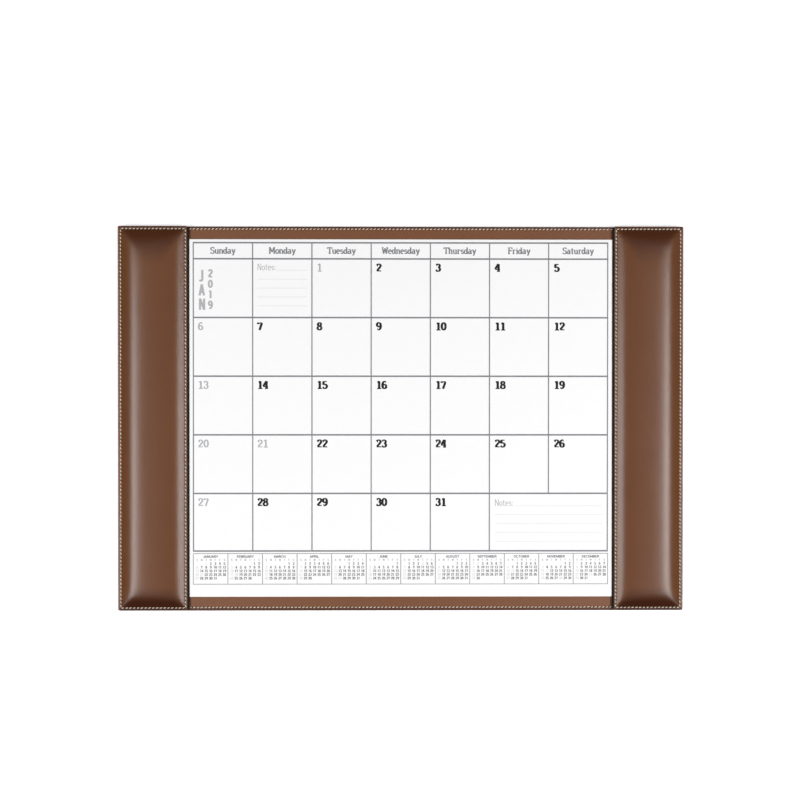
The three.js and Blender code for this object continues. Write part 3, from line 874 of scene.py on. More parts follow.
def base_leather_steps(loop, seam_groove):
    """(inset, height) from the middle of the underside, out under the turned-in edge, round the edge
    and over the top to the middle. The head and foot seams are pressed into the top as a narrow groove
    in a wider hollow, each a bell curve of the distance from the seam, and slow waves fade inward."""
    groove_depth, groove_width = 0.42, 0.55
    hollow_depth, hollow_width = 0.12, 1.8
    wave_length, wave_height, waves_end = 45, 0.05, 13.0
    under = base_low[2] + SKIVED_LEATHER + BOARD_CLEARANCE
    steps = [
        (HALF_DEPTH, under),
        (BASE_TURN_IN, under),
        (BASE_TURN_IN, base_low[2]),
        (BASE_EDGE + 2, base_low[2]),
    ]
    steps += quarter_edge(BASE_EDGE, base_low[2] + BASE_EDGE, -90, 0, 4)
    steps += quarter_edge(BASE_EDGE, BASE_TOP - BASE_EDGE, 0, 90, 5)
    wave = slow_waves(loop[:, 0], loop[:, 1], 11, wave_length, wave_height)
    for inset in (2.0, 2.35, 2.65, 2.85, 3.05, 3.25, 3.45, 3.75, 4.1, 5.0, 6.5, 8.5, 11.0):
        groove = groove_depth * np.exp(-(((inset - BASE_SEAM) / groove_width) ** 2))
        hollow = hollow_depth * np.exp(-(((inset - BASE_SEAM) / hollow_width) ** 2))
        height = BASE_TOP - seam_groove * (groove + hollow) + wave * (1 - inset / waves_end)
        steps.append((inset, height))
    steps += [(waves_end, BASE_TOP), (20.0, BASE_TOP), (HALF_DEPTH, BASE_TOP)]
    return steps


def make_base_leather():
    """The leather over the base: its outline is a round-cornered rectangle, and rings of that outline
    follow the profile from the underside round the edge to the top. Along the head and the foot the
    seam's depth follows a cosine from needle hole to needle hole."""
    seam_end = HALF_LENGTH - 2 * RAIL_HALF
    count = round(2 * seam_end / SEAM_PITCH)
    beyond = np.linspace(seam_end, HALF_LENGTH - BASE_CORNER, 15)
    between = np.linspace(-seam_end, seam_end, count * 4 + 1)[1:-1]
    x_stops = np.concatenate([-beyond[::-1], between, beyond])
    y_stops = np.linspace(-(HALF_DEPTH - BASE_CORNER), HALF_DEPTH - BASE_CORNER, 49)
    loop = rounded_loop(HALF_LENGTH, HALF_DEPTH, BASE_CORNER, x_stops, y_stops)
    along_seam = (np.abs(loop[:, 1]) > HALF_DEPTH - 1e-6) & (np.abs(loop[:, 0]) <= seam_end + 1)
    phase = (loop[:, 0] + seam_end) / (2 * seam_end / count)
    groove = np.where(along_seam, BETWEEN_HOLES + AT_HOLES * np.cos(2 * np.pi * phase), 0)
    steps = base_leather_steps(loop, groove)
    points = ring_points(loop, HALF_LENGTH, HALF_DEPTH, BASE_CORNER, steps)
    insets = np.repeat([inset for inset, _ in steps], len(loop))
    at_foot = points[:, 1] < BASE_CORNER - HALF_DEPTH
    overhang_reach = 2.5
    overhang_fade = 1.5
    share = np.clip((overhang_reach - insets) / overhang_fade, 0, 1)
    points[:, 1] -= share * FOOT_OVERHANG * at_foot
    on_top = points[:, 2] > BASE_TOP - TOP_BAND
    seam_shade_width = 0.5
    wear_highlight_width = 0.9
    wear_highlight_depth = BASE_EDGE + 0.4
    wear_highlight_share = 0.4
    # Painted shade in the head and foot seam grooves of the base.
    seam = np.exp(-(((insets - BASE_SEAM) / seam_shade_width) ** 2)) * np.tile(groove, len(steps)) * on_top
    # Wear and a painted highlight along the top of the base's rounded edge.
    wear_and_highlight = np.exp(-((insets / wear_highlight_width) ** 2)) * (points[:, 2] > BASE_TOP - wear_highlight_depth)
    # Darker on the base's rounded outer edge and just inside it.
    edge_darkening = (insets < BASE_DARK_EDGE) * (points[:, 2] > base_low[2] + 1)
    look = settings().leather
    material = leather_material("leather_base_brown", look.base_roughness, level=1.14, mottle=0.42)
    faces = grid_faces(len(steps), len(loop), closed=True)
    piece = make_piece(
        "base_leather", points, faces, material,
        marks={"seam": seam * SEAM_PAINTED_SHADE, "wear_and_highlight": wear_and_highlight * wear_highlight_share, "burnish": edge_darkening},
        weld=WELD)
    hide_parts("base_cover")


def make_base_threads():
    """The head and foot seams of the base, from rail to rail."""
    seam_end = HALF_LENGTH - 2 * RAIL_HALF
    material = thread_material()
    for name, side in (("base_head", 1), ("base_foot", -1)):
        y = side * (HALF_DEPTH - BASE_SEAM)
        corners = [(side * seam_end, y), (-side * seam_end, y)]
        starts, ends = seam_stops(corners, closed=False)
        points, faces = stitch_run(starts, ends, BASE_TOP - THREAD_SINK)
        piece = make_piece(name + "_thread", points, faces, material, weld=WELD)
        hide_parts(name + "_stitching")


def make_felt():
    """The felt under the base: rings of its outline from the middle of its face on the desk, round a soft
    edge, over its rim and up to the thicker middle, which fills the window of the turned-in leather."""
    half_x = felt_high[0]
    half_y = felt_high[1]
    radius = 2.5
    x_stops = np.linspace(-half_x + radius, half_x - radius, 120)
    y_stops = np.linspace(-half_y + radius, half_y - radius, 80)
    loop = rounded_loop(half_x, half_y, radius, x_stops, y_stops)
    nap_length, nap_height = 9, 0.06
    nap = slow_waves(loop[:, 0], loop[:, 1], 5, nap_length, nap_height)
    margin = HALF_LENGTH - felt_high[0]
    step = BASE_TURN_IN + GAP - margin
    low = felt_low[2]
    edge = 0.35
    rim = 0.1
    rounding = 0.12
    slack = 0.02
    steps = [(inset, low) for inset in (half_y, 120.0, 60.0, 25.0, 8.0, 2.0, edge)]
    steps += [
        (rim, low + rounding),
        (0.0, low + FELT_PRESSED / 2 + nap * 0.5),
        (rim, low + FELT_PRESSED - rounding),
        (edge, low + FELT_PRESSED - slack),
        (step, low + FELT_PRESSED - slack),
        (step + rim, felt_high[2] - slack),
        (half_y, felt_high[2] - slack),
    ]
    points = ring_points(loop, half_x, half_y, radius, steps)
    faces = grid_faces(len(steps), len(loop), closed=True)
    piece = make_piece("felt_cloth", points, faces, felt_material(), weld=WELD)
    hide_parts("felt_backing")


# Side rails

RAIL_SEAM_MIDDLE = (INNER_SEAM - OUTER_SEAM) / 2
RAIL_SEAM_HALF = RAIL_HALF - (OUTER_SEAM + INNER_SEAM) / 2
RAIL_SEAM_LENGTH = HALF_DEPTH - END_SEAM


def rail_stops(half, seam_half, seam_middle, count):
    """Places of the grid lines across or along a rail: four to a stitch between the seams, closer
    together at each seam, and along the round edge outside it."""
    between = seam_middle + np.linspace(-seam_half, seam_half, count * 4 + 1)
    near = np.array([-1.5, -1.0, -0.6, -0.3, 0.3, 0.6])
    low_seam = seam_middle - seam_half
    high_seam = seam_middle + seam_half
    edge = np.array([0.0, 0.08, 0.3, 0.65, 1.2, 1.7])
    stops = np.concatenate([between, low_seam + near, high_seam - near, -half + edge, half - edge])
    return np.unique(np.round(stops, 4))


def padding_fullness(to_outer, to_inner, to_end):
    """Share of the crown's height at a distance from the outer, the inner and the nearest end seam. The
    skin rises like a ramp at each seam, and the ramps ease into a top that falls gently inward: the least
    of the distances, each as a share of its ramp, and of that top, smoothed with the third power."""
    look = settings().rail
    power = 3.0
    tiny = 1e-3
    top = 1 - look.fall * np.clip(to_outer / (2 * RAIL_SEAM_HALF), 0, 1) ** 1.6
    total = top**-power
    ramps = ((to_outer, look.outer_rise), (to_inner, look.inner_rise), (to_end, look.end_rise))
    for distance, rise in ramps:
        total = total + np.maximum(distance / (rise / MM), tiny) ** -power
    return total ** (-1 / power)


def rail_height(x, y):
    """Height of the rail's skin above its flange at (x, y), measured from the middle of the rail: the
    padding, less the pressed-in seams, with puckers between the needle holes, slow waves and a low welt
    outside the seams. The seams, the puckers and the welt are bell or fading curves of the distance."""
    look = settings().rail
    groove_width = 0.6
    pucker_height = 0.07
    pucker_place = 1.2
    pucker_fade = 1.8
    welt_height = 0.22
    welt_place = 1.7
    welt_width = 0.9
    wave_length = 55
    across = x - RAIL_SEAM_MIDDLE
    to_outer = RAIL_SEAM_HALF - across
    to_inner = RAIL_SEAM_HALF + across
    to_side = np.minimum(to_outer, to_inner)
    to_end = RAIL_SEAM_LENGTH - np.abs(y)
    full = padding_fullness(to_outer, to_inner, to_end)
    full = full / full.max()
    side_count = round(2 * RAIL_SEAM_LENGTH / SEAM_PITCH)
    end_count = round(2 * RAIL_SEAM_HALF / SEAM_PITCH)
    side_wave = np.cos(2 * np.pi * (y + RAIL_SEAM_LENGTH) * side_count / (2 * RAIL_SEAM_LENGTH))
    end_wave = np.cos(2 * np.pi * (across + RAIL_SEAM_HALF) * end_count / (2 * RAIL_SEAM_HALF))
    within_y = to_end > -0.5
    within_x = to_side > -0.5
    side_pull = BETWEEN_HOLES + AT_HOLES * side_wave
    end_pull = BETWEEN_HOLES + AT_HOLES * end_wave
    side_groove = np.exp(-((to_side / groove_width) ** 2)) * side_pull * within_y
    end_groove = np.exp(-((to_end / groove_width) ** 2)) * end_pull * within_x
    groove = np.maximum(side_groove, end_groove)
    side_pucker = side_wave * np.exp(-np.abs(to_side - pucker_place) / pucker_fade) * within_y
    end_pucker = end_wave * np.exp(-np.abs(to_end - pucker_place) / pucker_fade) * within_x
    inside = (to_side > 0) & (to_end > 0)
    pucker = pucker_height * (side_pucker + end_pucker) * inside
    waves = slow_waves(x, y, 3, wave_length, look.unevenness / MM) * full
    edge_inset = np.minimum(RAIL_HALF - np.abs(x), HALF_DEPTH - np.abs(y))
    near_edge = np.clip(RAIL_EDGE - edge_inset, 0, RAIL_EDGE)
    edge_drop = RAIL_EDGE - np.sqrt(RAIL_EDGE**2 - near_edge**2)
    welt = welt_height * np.exp(-(((edge_inset - welt_place) / welt_width) ** 2)) * ~inside
    height = (CROWN - FLANGE_TOP) * full * inside - groove * look.seam_depth / MM - pucker + waves
    return height - edge_drop + welt, groove, edge_inset


def end_burnish(x, y, foot_sign):
    """How much painted shade darkens the leather at (x, y): fully on the end ramps, fading behind them,
    sooner at the foot, and at the hips, where a long seam is nearer than the end. foot_sign is the foot's
    sign of y."""
    look = settings().rail
    # Painted shade: stronger at the foot than at the head.
    foot_shade, foot_reach, foot_fade = 1.35, 25, 18
    head_shade, head_reach, head_fade = 0.9, 42, 26
    hip_share = 0.75
    hip_softness = 0.16
    to_end = RAIL_SEAM_LENGTH - np.abs(y)
    side = (RAIL_SEAM_HALF - np.abs(x - RAIL_SEAM_MIDDLE)) / (hip_share * look.outer_rise / MM)
    hip = 1 / (1 + np.exp(-(side - to_end / (look.end_rise / MM)) / hip_softness))
    foot = foot_shade * np.clip((foot_reach - to_end) / foot_fade, 0, 1)
    head = head_shade * np.clip((head_reach - to_end) / head_fade, 0, 1)
    return np.where(np.sign(y) == foot_sign, foot, head) * hip


def round_corners(x, y):
    """Moves the points near a corner of a rectangle onto the round corner: within the corner's square
    each coordinate shrinks by the root of one less half the square of the other."""
    core = np.array([RAIL_HALF - RAIL_CORNER, HALF_DEPTH - RAIL_CORNER])
    u = np.clip((np.abs(x) - core[0]) / RAIL_CORNER, 0, 1)
    v = np.clip((np.abs(y) - core[1]) / RAIL_CORNER, 0, 1)
    new_u = u * np.sqrt(1 - v * v / 2)
    new_v = v * np.sqrt(1 - u * u / 2)
    new_x = np.where(u > 0, np.sign(x) * (core[0] + RAIL_CORNER * new_u), x)
    new_y = np.where(v > 0, np.sign(y) * (core[1] + RAIL_CORNER * new_v), y)
    return new_x, new_y


def rail_skin():
    """Points, faces and marks of the right rail's leather about the middle of the rail: a height field
    over the rail, then rings of its border down the edge and in under the rail to its middle."""
    xs = rail_stops(RAIL_HALF, RAIL_SEAM_HALF, RAIL_SEAM_MIDDLE, round(2 * RAIL_SEAM_HALF / SEAM_PITCH))
    ys = rail_stops(HALF_DEPTH, RAIL_SEAM_LENGTH, 0.0, round(2 * RAIL_SEAM_LENGTH / SEAM_PITCH))
    x, y = np.meshgrid(xs, ys)
    height, groove, edge_inset = rail_height(x, y)
    round_x, round_y = round_corners(x, y)
    top = np.stack([round_x, round_y, FLANGE_TOP + height], axis=-1)
    border = np.concatenate([top[0, :-1], top[:-1, -1], top[-1, :0:-1], top[:0:-1, 0]])
    loop = border[:, :2]
    under = RAIL_BOTTOM + SKIVED_LEATHER + BOARD_CLEARANCE
    steps = [
        (RAIL_HALF, under),
        (RAIL_TURN_IN, under),
        (RAIL_TURN_IN, RAIL_BOTTOM),
        (RAIL_EDGE + 1.5, RAIL_BOTTOM),
    ]
    steps += quarter_edge(RAIL_EDGE, RAIL_BOTTOM + RAIL_EDGE, -90, 0, 5)
    rim = ring_points(loop, RAIL_HALF, HALF_DEPTH, RAIL_CORNER, steps)
    rim = np.concatenate([rim, border])
    rows, columns = x.shape
    top_faces = grid_faces(rows, columns)
    rim_faces = grid_faces(len(steps) + 1, len(border), closed=True) + rows * columns
    points = np.concatenate([top.reshape(-1, 3), rim])
    faces = np.concatenate([top_faces, rim_faces])
    wear_highlight_width = 0.8
    edge_shadow_width = 0.7
    # Painted shade in the seam grooves of the rail.
    seam = np.concatenate([groove.ravel(), np.zeros(len(rim))]) * SEAM_PAINTED_SHADE
    # Wear and a painted highlight along the rail's rounded rim.
    wear_highlight_top = np.exp(-((edge_inset.ravel() / wear_highlight_width) ** 2))
    wear_and_highlight = np.concatenate([wear_highlight_top, np.zeros(len(rim))])
    wear_and_highlight[-len(border):] = 1
    # Painted shadow along the rail's inner edge.
    edge_shadow = (points[:, 0] < edge_shadow_width - RAIL_HALF) * 1.0
    return points, faces, {"seam": seam, "wear_and_highlight": wear_and_highlight * (1 - edge_shadow), "edge_shadow": edge_shadow}


def side_place(points, side):
    """Takes points from the middle of a right rail to their place; the left rail is turned half round."""
    turned = np.array(points, float)
    turned[:, :2] *= side
    turned[:, 0] += side * RAIL_MIDDLE
    return turned


def make_rail_leather():
    """The padded leather of both rails, which also stands for the foam in it: one skin, turned half round
    for the left rail, with its own painted shade on the ends of each."""
    look = settings().leather
    material = leather_material("leather_rail_brown", look.rail_roughness, level=0.84)
    points, faces, marks = rail_skin()
    on_top = points[:, 2] > FLANGE_TOP - TOP_BAND
    for name, side in (("right", 1), ("left", -1)):
        # Painted shade on the end ramps of the rail, on its top only.
        marks["burnish"] = end_burnish(points[:, 0], points[:, 1], -side) * on_top
        piece = make_piece(
            name + "_rail_padded_leather", side_place(points, side), faces, material,
            marks=marks, weld=WELD)
        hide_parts(name + "_rail_cover", name + "_rail_foam")


def make_rail_threads():
    """The seam all round each rail."""
    left = RAIL_SEAM_MIDDLE - RAIL_SEAM_HALF
    right = RAIL_SEAM_MIDDLE + RAIL_SEAM_HALF
    corners = [
        (left, -RAIL_SEAM_LENGTH),
        (right, -RAIL_SEAM_LENGTH),
        (right, RAIL_SEAM_LENGTH),
        (left, RAIL_SEAM_LENGTH),
    ]
    starts, ends = seam_stops(corners, closed=True)
    points, faces = stitch_run(starts, ends, FLANGE_TOP - THREAD_SINK)
    material = thread_material()
    for name, side in (("right", 1), ("left", -1)):
        piece = make_piece(
            name + "_rail_thread", side_place(points, side), faces, material, weld=WELD)
        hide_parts(name + "_rail_stitching")


def make_rail_linings():
    """The cloth under each rail, glued to the turned-in leather and to the board inside it: rings of its
    outline over its underside, round its thin edge and over its upper side. Along the pocket's mouth it
    stands out past the rail, by a little more than in the part, as a near-black strip that is painted
    shadow under the rail's inner edge."""
    # The extra strip of lining shown past the rail is painted shadow.
    shadow_strip_extra = 0.5
    half_x = (lining_high[0] - lining_low[0] + shadow_strip_extra) / 2
    half_y = lining_high[1]
    off_middle = (lining_high[0] + lining_low[0] - shadow_strip_extra) / 2 - RAIL_MIDDLE
    shows = RAIL_MIDDLE - RAIL_HALF - lining_low[0] + shadow_strip_extra
    radius = 1.0
    x_stops = np.linspace(-half_x + radius, half_x - radius, 40)
    y_stops = np.linspace(-half_y + radius, half_y - radius, 180)
    loop = rounded_loop(half_x, half_y, radius, x_stops, y_stops, 4)
    low = lining_low[2]
    step = RAIL_TURN_IN + shows
    rim = 0.1
    lower_bend, lower_rise = step + 0.9, step + 2.4
    upper_bend, upper_rise = step + 0.4, step + 1.9
    steps = [
        (half_x, lining_high[2] - LINING),
        (lower_rise, lining_high[2] - LINING),
        (lower_bend, low),
        (rim, low),
        (0.0, low + LINING / 2),
        (rim, low + LINING),
        (upper_bend, low + LINING),
        (upper_rise, lining_high[2]),
        (half_x, lining_high[2]),
    ]
    points = ring_points(loop, half_x, half_y, radius, steps) + [off_middle, 0, 0]
    faces = grid_faces(len(steps), len(loop), closed=True)
    material = lining_material()
    for name, side in (("right", 1), ("left", -1)):
        piece = make_piece(
            name + "_rail_lining_cloth", side_place(points, side), faces, material, weld=WELD)
        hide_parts(name + "_rail_lining")


# Calendar pad


def make_sheets():
    """Twelve month sheets, each a thin slab: corners at the ends of the sheet, moved a little at the
    sides and the foot, so that their edges show as a stack."""
    random = np.random.default_rng(19)
    count = 12
    low = pages_low[2]
    pitch = (SHEET_TOP - low) / count
    usual_slip = 0.16
    thick_share = 0.82
    slip = random.normal(0, usual_slip, (count, 3))
    slip[-1] = 0
    points = []
    for k in range(count):
        x0 = pages_low[0] + slip[k, 0]
        x1 = pages_high[0] + slip[k, 1]
        y0 = pages_low[1] + abs(slip[k, 2])
        bottom = low + k * pitch
        top = SHEET_TOP if k == count - 1 else bottom + pitch * thick_share
        corners = np.array([[x0, y0], [x1, y0], [x1, pages_high[1]], [x0, pages_high[1]]])
        points.append(np.column_stack([corners, np.full(4, bottom)]))
        points.append(np.column_stack([corners, np.full(4, top)]))
    one = np.array([[0, 3, 2, 1], [4, 5, 6, 7], [0, 1, 5, 4], [1, 2, 6, 5], [2, 3, 7, 6], [3, 0, 4, 7]])
    faces = (one[None] + (np.arange(count) * 8)[:, None, None]).reshape(-1, 4)
    piece = make_piece(
        "month_sheets", np.concatenate(points), faces, paper_material(), smooth=False)
    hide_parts("calendar_pages")


def make_month_grid():
    """The ruled month. Level rules run from side to side, and upright rules stand between them, so that
    none overlap. The last two columns of the last week are one box for notes."""
    ink = Print()
    half = 0.66
    level_half = 0.9
    right = GRID_LEFT + 7 * COLUMN
    levels = [GRID_HEAD, *WEEK_HEADS]
    for y in levels:
        ink.rule(GRID_LEFT - half, right + half, y - level_half, y + level_half)
    for row, (head, foot) in enumerate(zip(levels, levels[1:])):
        for day in range(8):
            if row == len(WEEK_ROWS) and day == NOTES_WEEKDAY + 1:
                continue
            x = GRID_LEFT + day * COLUMN
            ink.rule(x - half, x + half, foot + level_half, head - level_half)
    piece = ink.make("month_grid_rules", settings().print.rule_grey)
    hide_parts("month_grid_print")


def make_year_strip():
    """The frame of the twelve small months."""
    ink = Print()
    half = 0.36
    foot = STRIP_HEAD - STRIP_HEIGHT
    for y in (STRIP_HEAD, foot):
        ink.rule(STRIP_LEFT - half, STRIP_LEFT + 12 * STRIP_MONTH + half, y - half, y + half)
    for month in range(13):
        x = STRIP_LEFT + month * STRIP_MONTH
        ink.rule(x - half, x + half, foot + half, STRIP_HEAD - half)
    piece = ink.make("year_strip_rules", settings().print.rule_grey)
    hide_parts("year_strip_print")


def make_day_numbers():
    """The days of the month, black in a heavy pen, or grey in a lighter one on Sundays and free days. They
    stand a little further apart than the columns."""
    look = settings().print
    black = Print()
    grey = Print()
    inset = 5.2
    drop = 14.4
    pitch = COLUMN + 0.17
    for day in range(1, MONTH_DAYS[0] + 1):
        week, weekday = divmod(day + look.first_weekday - 1, 7)
        ink, pen = (grey, GREY_DAY) if day in GREY_DAYS else (black, BLACK_DAY)
        ink.write(str(day), GRID_LEFT + weekday * pitch + inset, WEEK_HEADS[week] - drop, pen)
    black.make("day_numbers_black", look.black)
    grey.make("day_numbers_grey", look.light_grey)


def make_weekday_names():
    """The names of the weekdays, each in the middle of its column."""
    ink = Print()
    drop = 12.6
    for day, name in enumerate(WEEKDAYS):
        ink.centre(name, GRID_LEFT + (day + 0.5) * COLUMN, GRID_HEAD - drop, WEEKDAY_NAME)
    ink.make("weekday_names", settings().print.rule_grey)


def make_month_and_year():
    """The month's short name and the year in plain heavy letters, one below the other. Each column has
    its inset from the grid, the foot of its first letter below the header, and its step down."""
    ink = Print()
    columns = (("JAN", 6.6, 25.7, 16.4, MONTH_LETTER), ("2019", 16.9, 21.2, 12.0, YEAR_DIGIT))
    for letters, inset, drop, step, pen in columns:
        for k, letter in enumerate(letters):
            ink.figure(letter, GRID_LEFT + inset, WEEK_HEADS[0] - drop - k * step, pen)
    ink.make("month_and_year", settings().print.light_grey)


def make_notes():
    """The two places for notes: a word in thin plain letters and five faint writing lines."""
    look = settings().print
    words = Print()
    lines = Print()
    half = 0.3
    after_word = 1.5
    line_pitch = 10.2
    line_inset = 0.5
    last = NOTES_WEEKDAY
    places = [
        (GRID_LEFT + COLUMN + 5.3, GRID_LEFT + 2 * COLUMN - 5.6, WEEK_HEADS[0] - 13.1),
        (GRID_LEFT + last * COLUMN + 6.2, GRID_LEFT + (last + 2) * COLUMN - 5.2, WEEK_HEADS[4] - 14.3),
    ]
    for left, right, foot in places:
        end = words.write("Notes:", left, foot, NOTES_WORD)
        lines.rule(end + after_word, right, foot - half, foot + half)
        for k in range(1, 5):
            y = foot - line_pitch * k
            lines.rule(left + line_inset, right, y - half, y + half)
    words.make("notes_words", look.light_grey)
    lines.make("notes_lines", look.faint_grey)


def make_small_months():
    """The twelve small months in small plain figures: dark names, grey initials of the weekdays, and
    days that are faint on Sundays and free days. A day in a sixth week is left out for want of room."""
    look = settings().print
    dark = Print()
    grey = Print()
    pale = Print()
    margin = 1.8
    margins = 3.2
    name_drop = 4.8
    initials_drop = 8.3
    first_drop = 12.95
    step = (STRIP_MONTH - margins) / 7
    weeks = 5
    week_drop = 4.2
    weekday = look.first_weekday
    for month, (name, days) in enumerate(zip(MONTHS, MONTH_DAYS)):
        left = STRIP_LEFT + month * STRIP_MONTH + margin
        middles = [left + (day + 0.5) * step for day in range(7)]
        dark.centre(
            name, STRIP_LEFT + (month + 0.5) * STRIP_MONTH, STRIP_HEAD - name_drop, SMALL_NAME)
        for initial, middle in zip("SMTWTFS", middles):
            grey.centre(initial, middle, STRIP_HEAD - initials_drop, SMALL_INITIAL)
        for day in range(1, days + 1):
            week, column = divmod(weekday + day - 1, 7)
            if week < weeks:
                ink = pale if column == 0 or (month, day) in FREE_DAYS else dark
                foot = STRIP_HEAD - first_drop - week * week_drop
                ink.centre(str(day), middles[column], foot, SMALL_DAY)
        weekday = (weekday + days) % 7
    dark.make("small_months_dark", look.rule_grey)
    grey.make("small_months_grey", look.light_grey)
    pale.make("small_months_pale", look.faint_grey)


def finish_carried_pieces():
    """Gives each CAD piece that has no piece of its own here its material."""
    grey_board = board_material(
        "board_dense_grey", (0.42, 0.38, 0.32), (0.3, 0.27, 0.22), (0.12, 0.11, 0.1))
    chipboard = board_material(
        "chipboard_uncoated", (0.5, 0.43, 0.33), (0.36, 0.3, 0.22), (0.2, 0.14, 0.09))
    edge_leather = leather_material("leather_edge_dark", roughness=0.5, level=0.55)
    looks = {
        "base_board": grey_board,
        "left_rail_board": grey_board,
        "right_rail_board": grey_board,
        "calendar_backing_board": chipboard,
        "pad_gum": gum_material(),
        "left_rail_spacer": edge_leather,
        "right_rail_spacer": edge_leather,
        "left_rail_foam": foam_material(),
    }
    looks["right_rail_foam"] = looks["left_rail_foam"]
    for node, material in looks.items():
        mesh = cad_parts[node].data
        mesh.materials.clear()
        mesh.materials.append(material)


# Stage


def make_floor():
    """A pale floor that reads as white from the camera and keeps the pad's shadow."""
    half = 9000.0
    under_felt = -0.2
    glow = 0.42
    stops = np.linspace(-half, half, 5)
    x, y = np.meshgrid(stops, stops)
    points = np.stack([x, y, np.full(x.shape, under_felt)], axis=-1).reshape(-1, 3)
    mesh = bpy.data.meshes.new("floor")
    mesh.from_pydata((points * MM).tolist(), [], grid_faces(5, 5).tolist())
    floor = bpy.data.objects.new("floor", mesh)
    bpy.context.scene.collection.objects.link(floor)
    n = Nodes("floor_white")
    path = n.add("LightPath").outputs
    seen = n.math("MAXIMUM", path["Is Camera Ray"], path["Is Glossy Ray"])
    seen = n.math("MAXIMUM", seen, path["Is Transmission Ray"])
    n.shade(Base_Color=(0.86, 0.86, 0.87, 1.0), Roughness=0.9, Specular_IOR_Level=0.1)
    n.shade(Emission_Color=(1.0, 1.0, 1.0, 1.0), Emission_Strength=n.math("MULTIPLY", seen, glow))
    mesh.materials.append(n.material)


def make_world():
    """Soft light from above that fades to the horizon, and white where the camera sees past the floor."""
    world = bpy.data.worlds.new("studio")
    bpy.context.scene.world = world
    n = Nodes("studio", world)
    n.tree.nodes.clear()
    up = n.add("SeparateXYZ", {0: n.add("TexCoord").outputs["Generated"]}).outputs["Z"]
    fade = {"Value": up, "From Min": 0.7, "From Max": 0.95, "To Min": 0.05}
    fade["To Max"] = settings().stage.sky
    glow = n.add("MapRange", fade, interpolation_type="SMOOTHSTEP").outputs[0]
    sky = n.add("Background", {"Strength": glow}).outputs[0]
    white = n.add("Background", {"Color": (1.0, 1.0, 1.0, 1.0)}).outputs[0]
    seen = n.add("LightPath").outputs["Is Camera Ray"]
    n.add("OutputWorld", {"Surface": n.add("MixShader", {0: seen, 1: sky, 2: white}).outputs[0]})


def make_softbox(name, side, power):
    """A rectangular area lamp on one side of the pad, turned to face its aim: it is pitched and yawed by
    the angles of the line from its place to its aim. Places are in metres."""
    mirror = np.array([side, 1, 1])
    place = np.array(SOFTBOX_PLACE) * mirror
    lamp = bpy.data.lights.new(name, "AREA")
    lamp.shape = "RECTANGLE"
    lamp.size, lamp.size_y = SOFTBOX_SIZE
    lamp.energy = power
    holder = bpy.data.objects.new(name, lamp)
    bpy.context.scene.collection.objects.link(holder)
    holder.location = place
    direction = np.array(SOFTBOX_AIM) * mirror - place
    yaw = math.atan2(direction[0], -direction[2])
    pitch = math.atan2(-direction[1], math.hypot(direction[0], direction[2]))
    holder.rotation_euler = Euler((-pitch, -yaw, 0.0), "XYZ")


def make_camera():
    """The camera, almost straight above the pad, as in the photograph."""
    look = settings().stage
    camera = bpy.data.cameras.new("camera")
    camera.lens = look.lens
    camera.sensor_width = 36
    camera.clip_start = 0.05
    camera.clip_end = 100
    holder = bpy.data.objects.new("camera", camera)
    bpy.context.scene.collection.objects.link(holder)
    holder.location = (*CAMERA_PLACE, look.camera_height)
    holder.rotation_euler = CAMERA_TURN
    bpy.context.scene.camera = holder


# Operators


class DESKPAD_OT_base(bpy.types.Operator):
    """Makes the leather and the felt of the base"""

    bl_idname = "deskpad.base"
    bl_label = "Base leather and felt"

    def execute(self, context):
        make_base_leather()
        make_felt()
        return {"FINISHED"}


class DESKPAD_OT_rails(bpy.types.Operator):
    """Makes the padded leather and the linings of both rails"""

    bl_idname = "deskpad.rails"
    bl_label = "Padded side rails"

    def execute(self, context):
        make_rail_leather()
        make_rail_linings()
        return {"FINISHED"}


class DESKPAD_OT_threads(bpy.types.Operator):
    """Makes the stitches of all the seams"""

    bl_idname = "deskpad.threads"
    bl_label = "Stitching"

    def execute(self, context):
        make_base_threads()
        make_rail_threads()
        return {"FINISHED"}


class DESKPAD_OT_sheets(bpy.types.Operator):
    """Makes the stack of month sheets"""

    bl_idname = "deskpad.sheets"
    bl_label = "Month sheets"

    def execute(self, context):
        make_sheets()
        return {"FINISHED"}


class DESKPAD_OT_rules(bpy.types.Operator):
    """Prints the month grid, the year strip and the writing lines"""

    bl_idname = "deskpad.rules"
    bl_label = "Printed rules"

    def execute(self, context):
        make_month_grid()
        make_year_strip()
        make_notes()
        return {"FINISHED"}


class DESKPAD_OT_figures(bpy.types.Operator):
    """Prints the weekday names, the month and year and all the numbers"""

    bl_idname = "deskpad.figures"
    bl_label = "Printed letters and numbers"

    def execute(self, context):
        make_weekday_names()
        make_month_and_year()
        make_day_numbers()
        make_small_months()
        return {"FINISHED"}


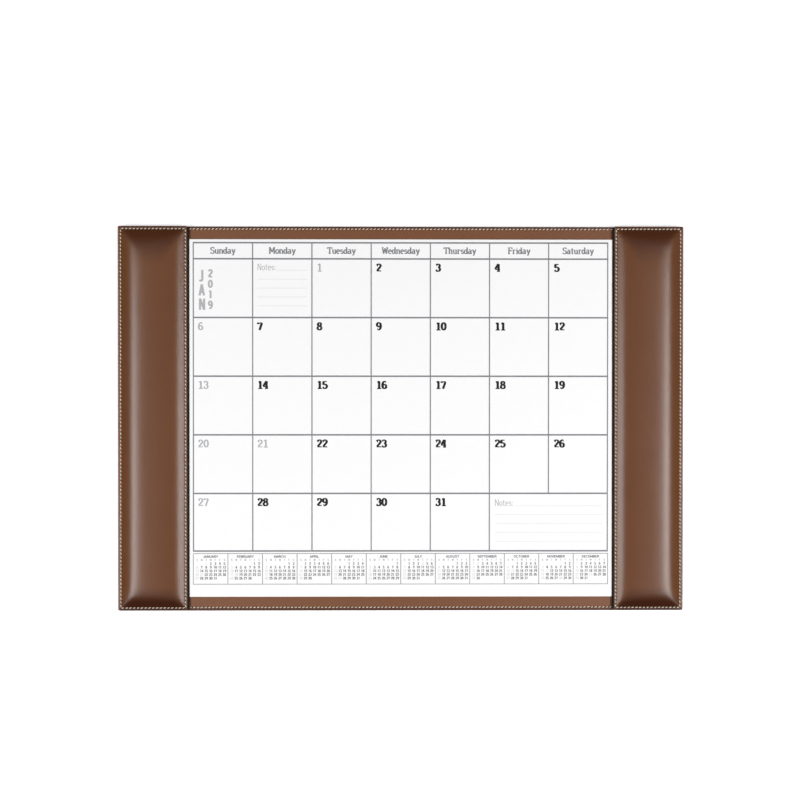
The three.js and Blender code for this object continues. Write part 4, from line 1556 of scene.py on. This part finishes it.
class DESKPAD_OT_carried(bpy.types.Operator):
    """Gives the boards, the foam, the gum and the spacers their materials"""

    bl_idname = "deskpad.carried"
    bl_label = "Boards, gum and spacers"

    def execute(self, context):
        finish_carried_pieces()
        return {"FINISHED"}


class DESKPAD_OT_stage(bpy.types.Operator):
    """Makes the floor, the studio light and the camera"""

    bl_idname = "deskpad.stage"
    bl_label = "Stage"

    def execute(self, context):
        make_camera()
        make_floor()
        make_world()
        for name, side, share in SOFTBOXES:
            make_softbox(name, side, settings().stage.side_power * share)
        return {"FINISHED"}


OPERATORS = (
    DESKPAD_OT_stage,
    DESKPAD_OT_carried,
    DESKPAD_OT_base,
    DESKPAD_OT_rails,
    DESKPAD_OT_threads,
    DESKPAD_OT_sheets,
    DESKPAD_OT_rules,
    DESKPAD_OT_figures,
)


class DESKPAD_PT_panel(bpy.types.Panel):
    """Lists the settings and the pieces"""

    bl_label = "Desk pad calendar"
    bl_idname = "DESKPAD_PT_panel"
    bl_space_type = "VIEW_3D"
    bl_region_type = "UI"
    bl_category = "Desk pad"

    def draw(self, context):
        for group in ("leather", "rail", "thread", "print", "stage"):
            box = self.layout.box()
            box.label(text=group.capitalize())
            values = getattr(context.scene.desk_pad, group)
            for name in values.__annotations__:
                box.prop(values, name)
        for operator in OPERATORS:
            self.layout.operator(operator.bl_idname)


CLASSES = (
    LeatherSettings,
    RailSettings,
    ThreadSettings,
    PrintSettings,
    StageSettings,
    DeskPadSettings,
    *OPERATORS,
    DESKPAD_PT_panel,
)


def register():
    for cls in CLASSES:
        bpy.utils.register_class(cls)
    bpy.types.Scene.desk_pad = PointerProperty(type=DeskPadSettings)


def unregister():
    del bpy.types.Scene.desk_pad
    for cls in reversed(CLASSES):
        bpy.utils.unregister_class(cls)


def main():
    """Makes every piece and the stage."""
    register()
    bpy.context.scene.view_settings.view_transform = "Standard"
    for operator in OPERATORS:
        group, name = operator.bl_idname.split(".")
        getattr(getattr(bpy.ops, group), name)()
    bpy.context.view_layer.update()


if __name__ == "__main__":
    main()
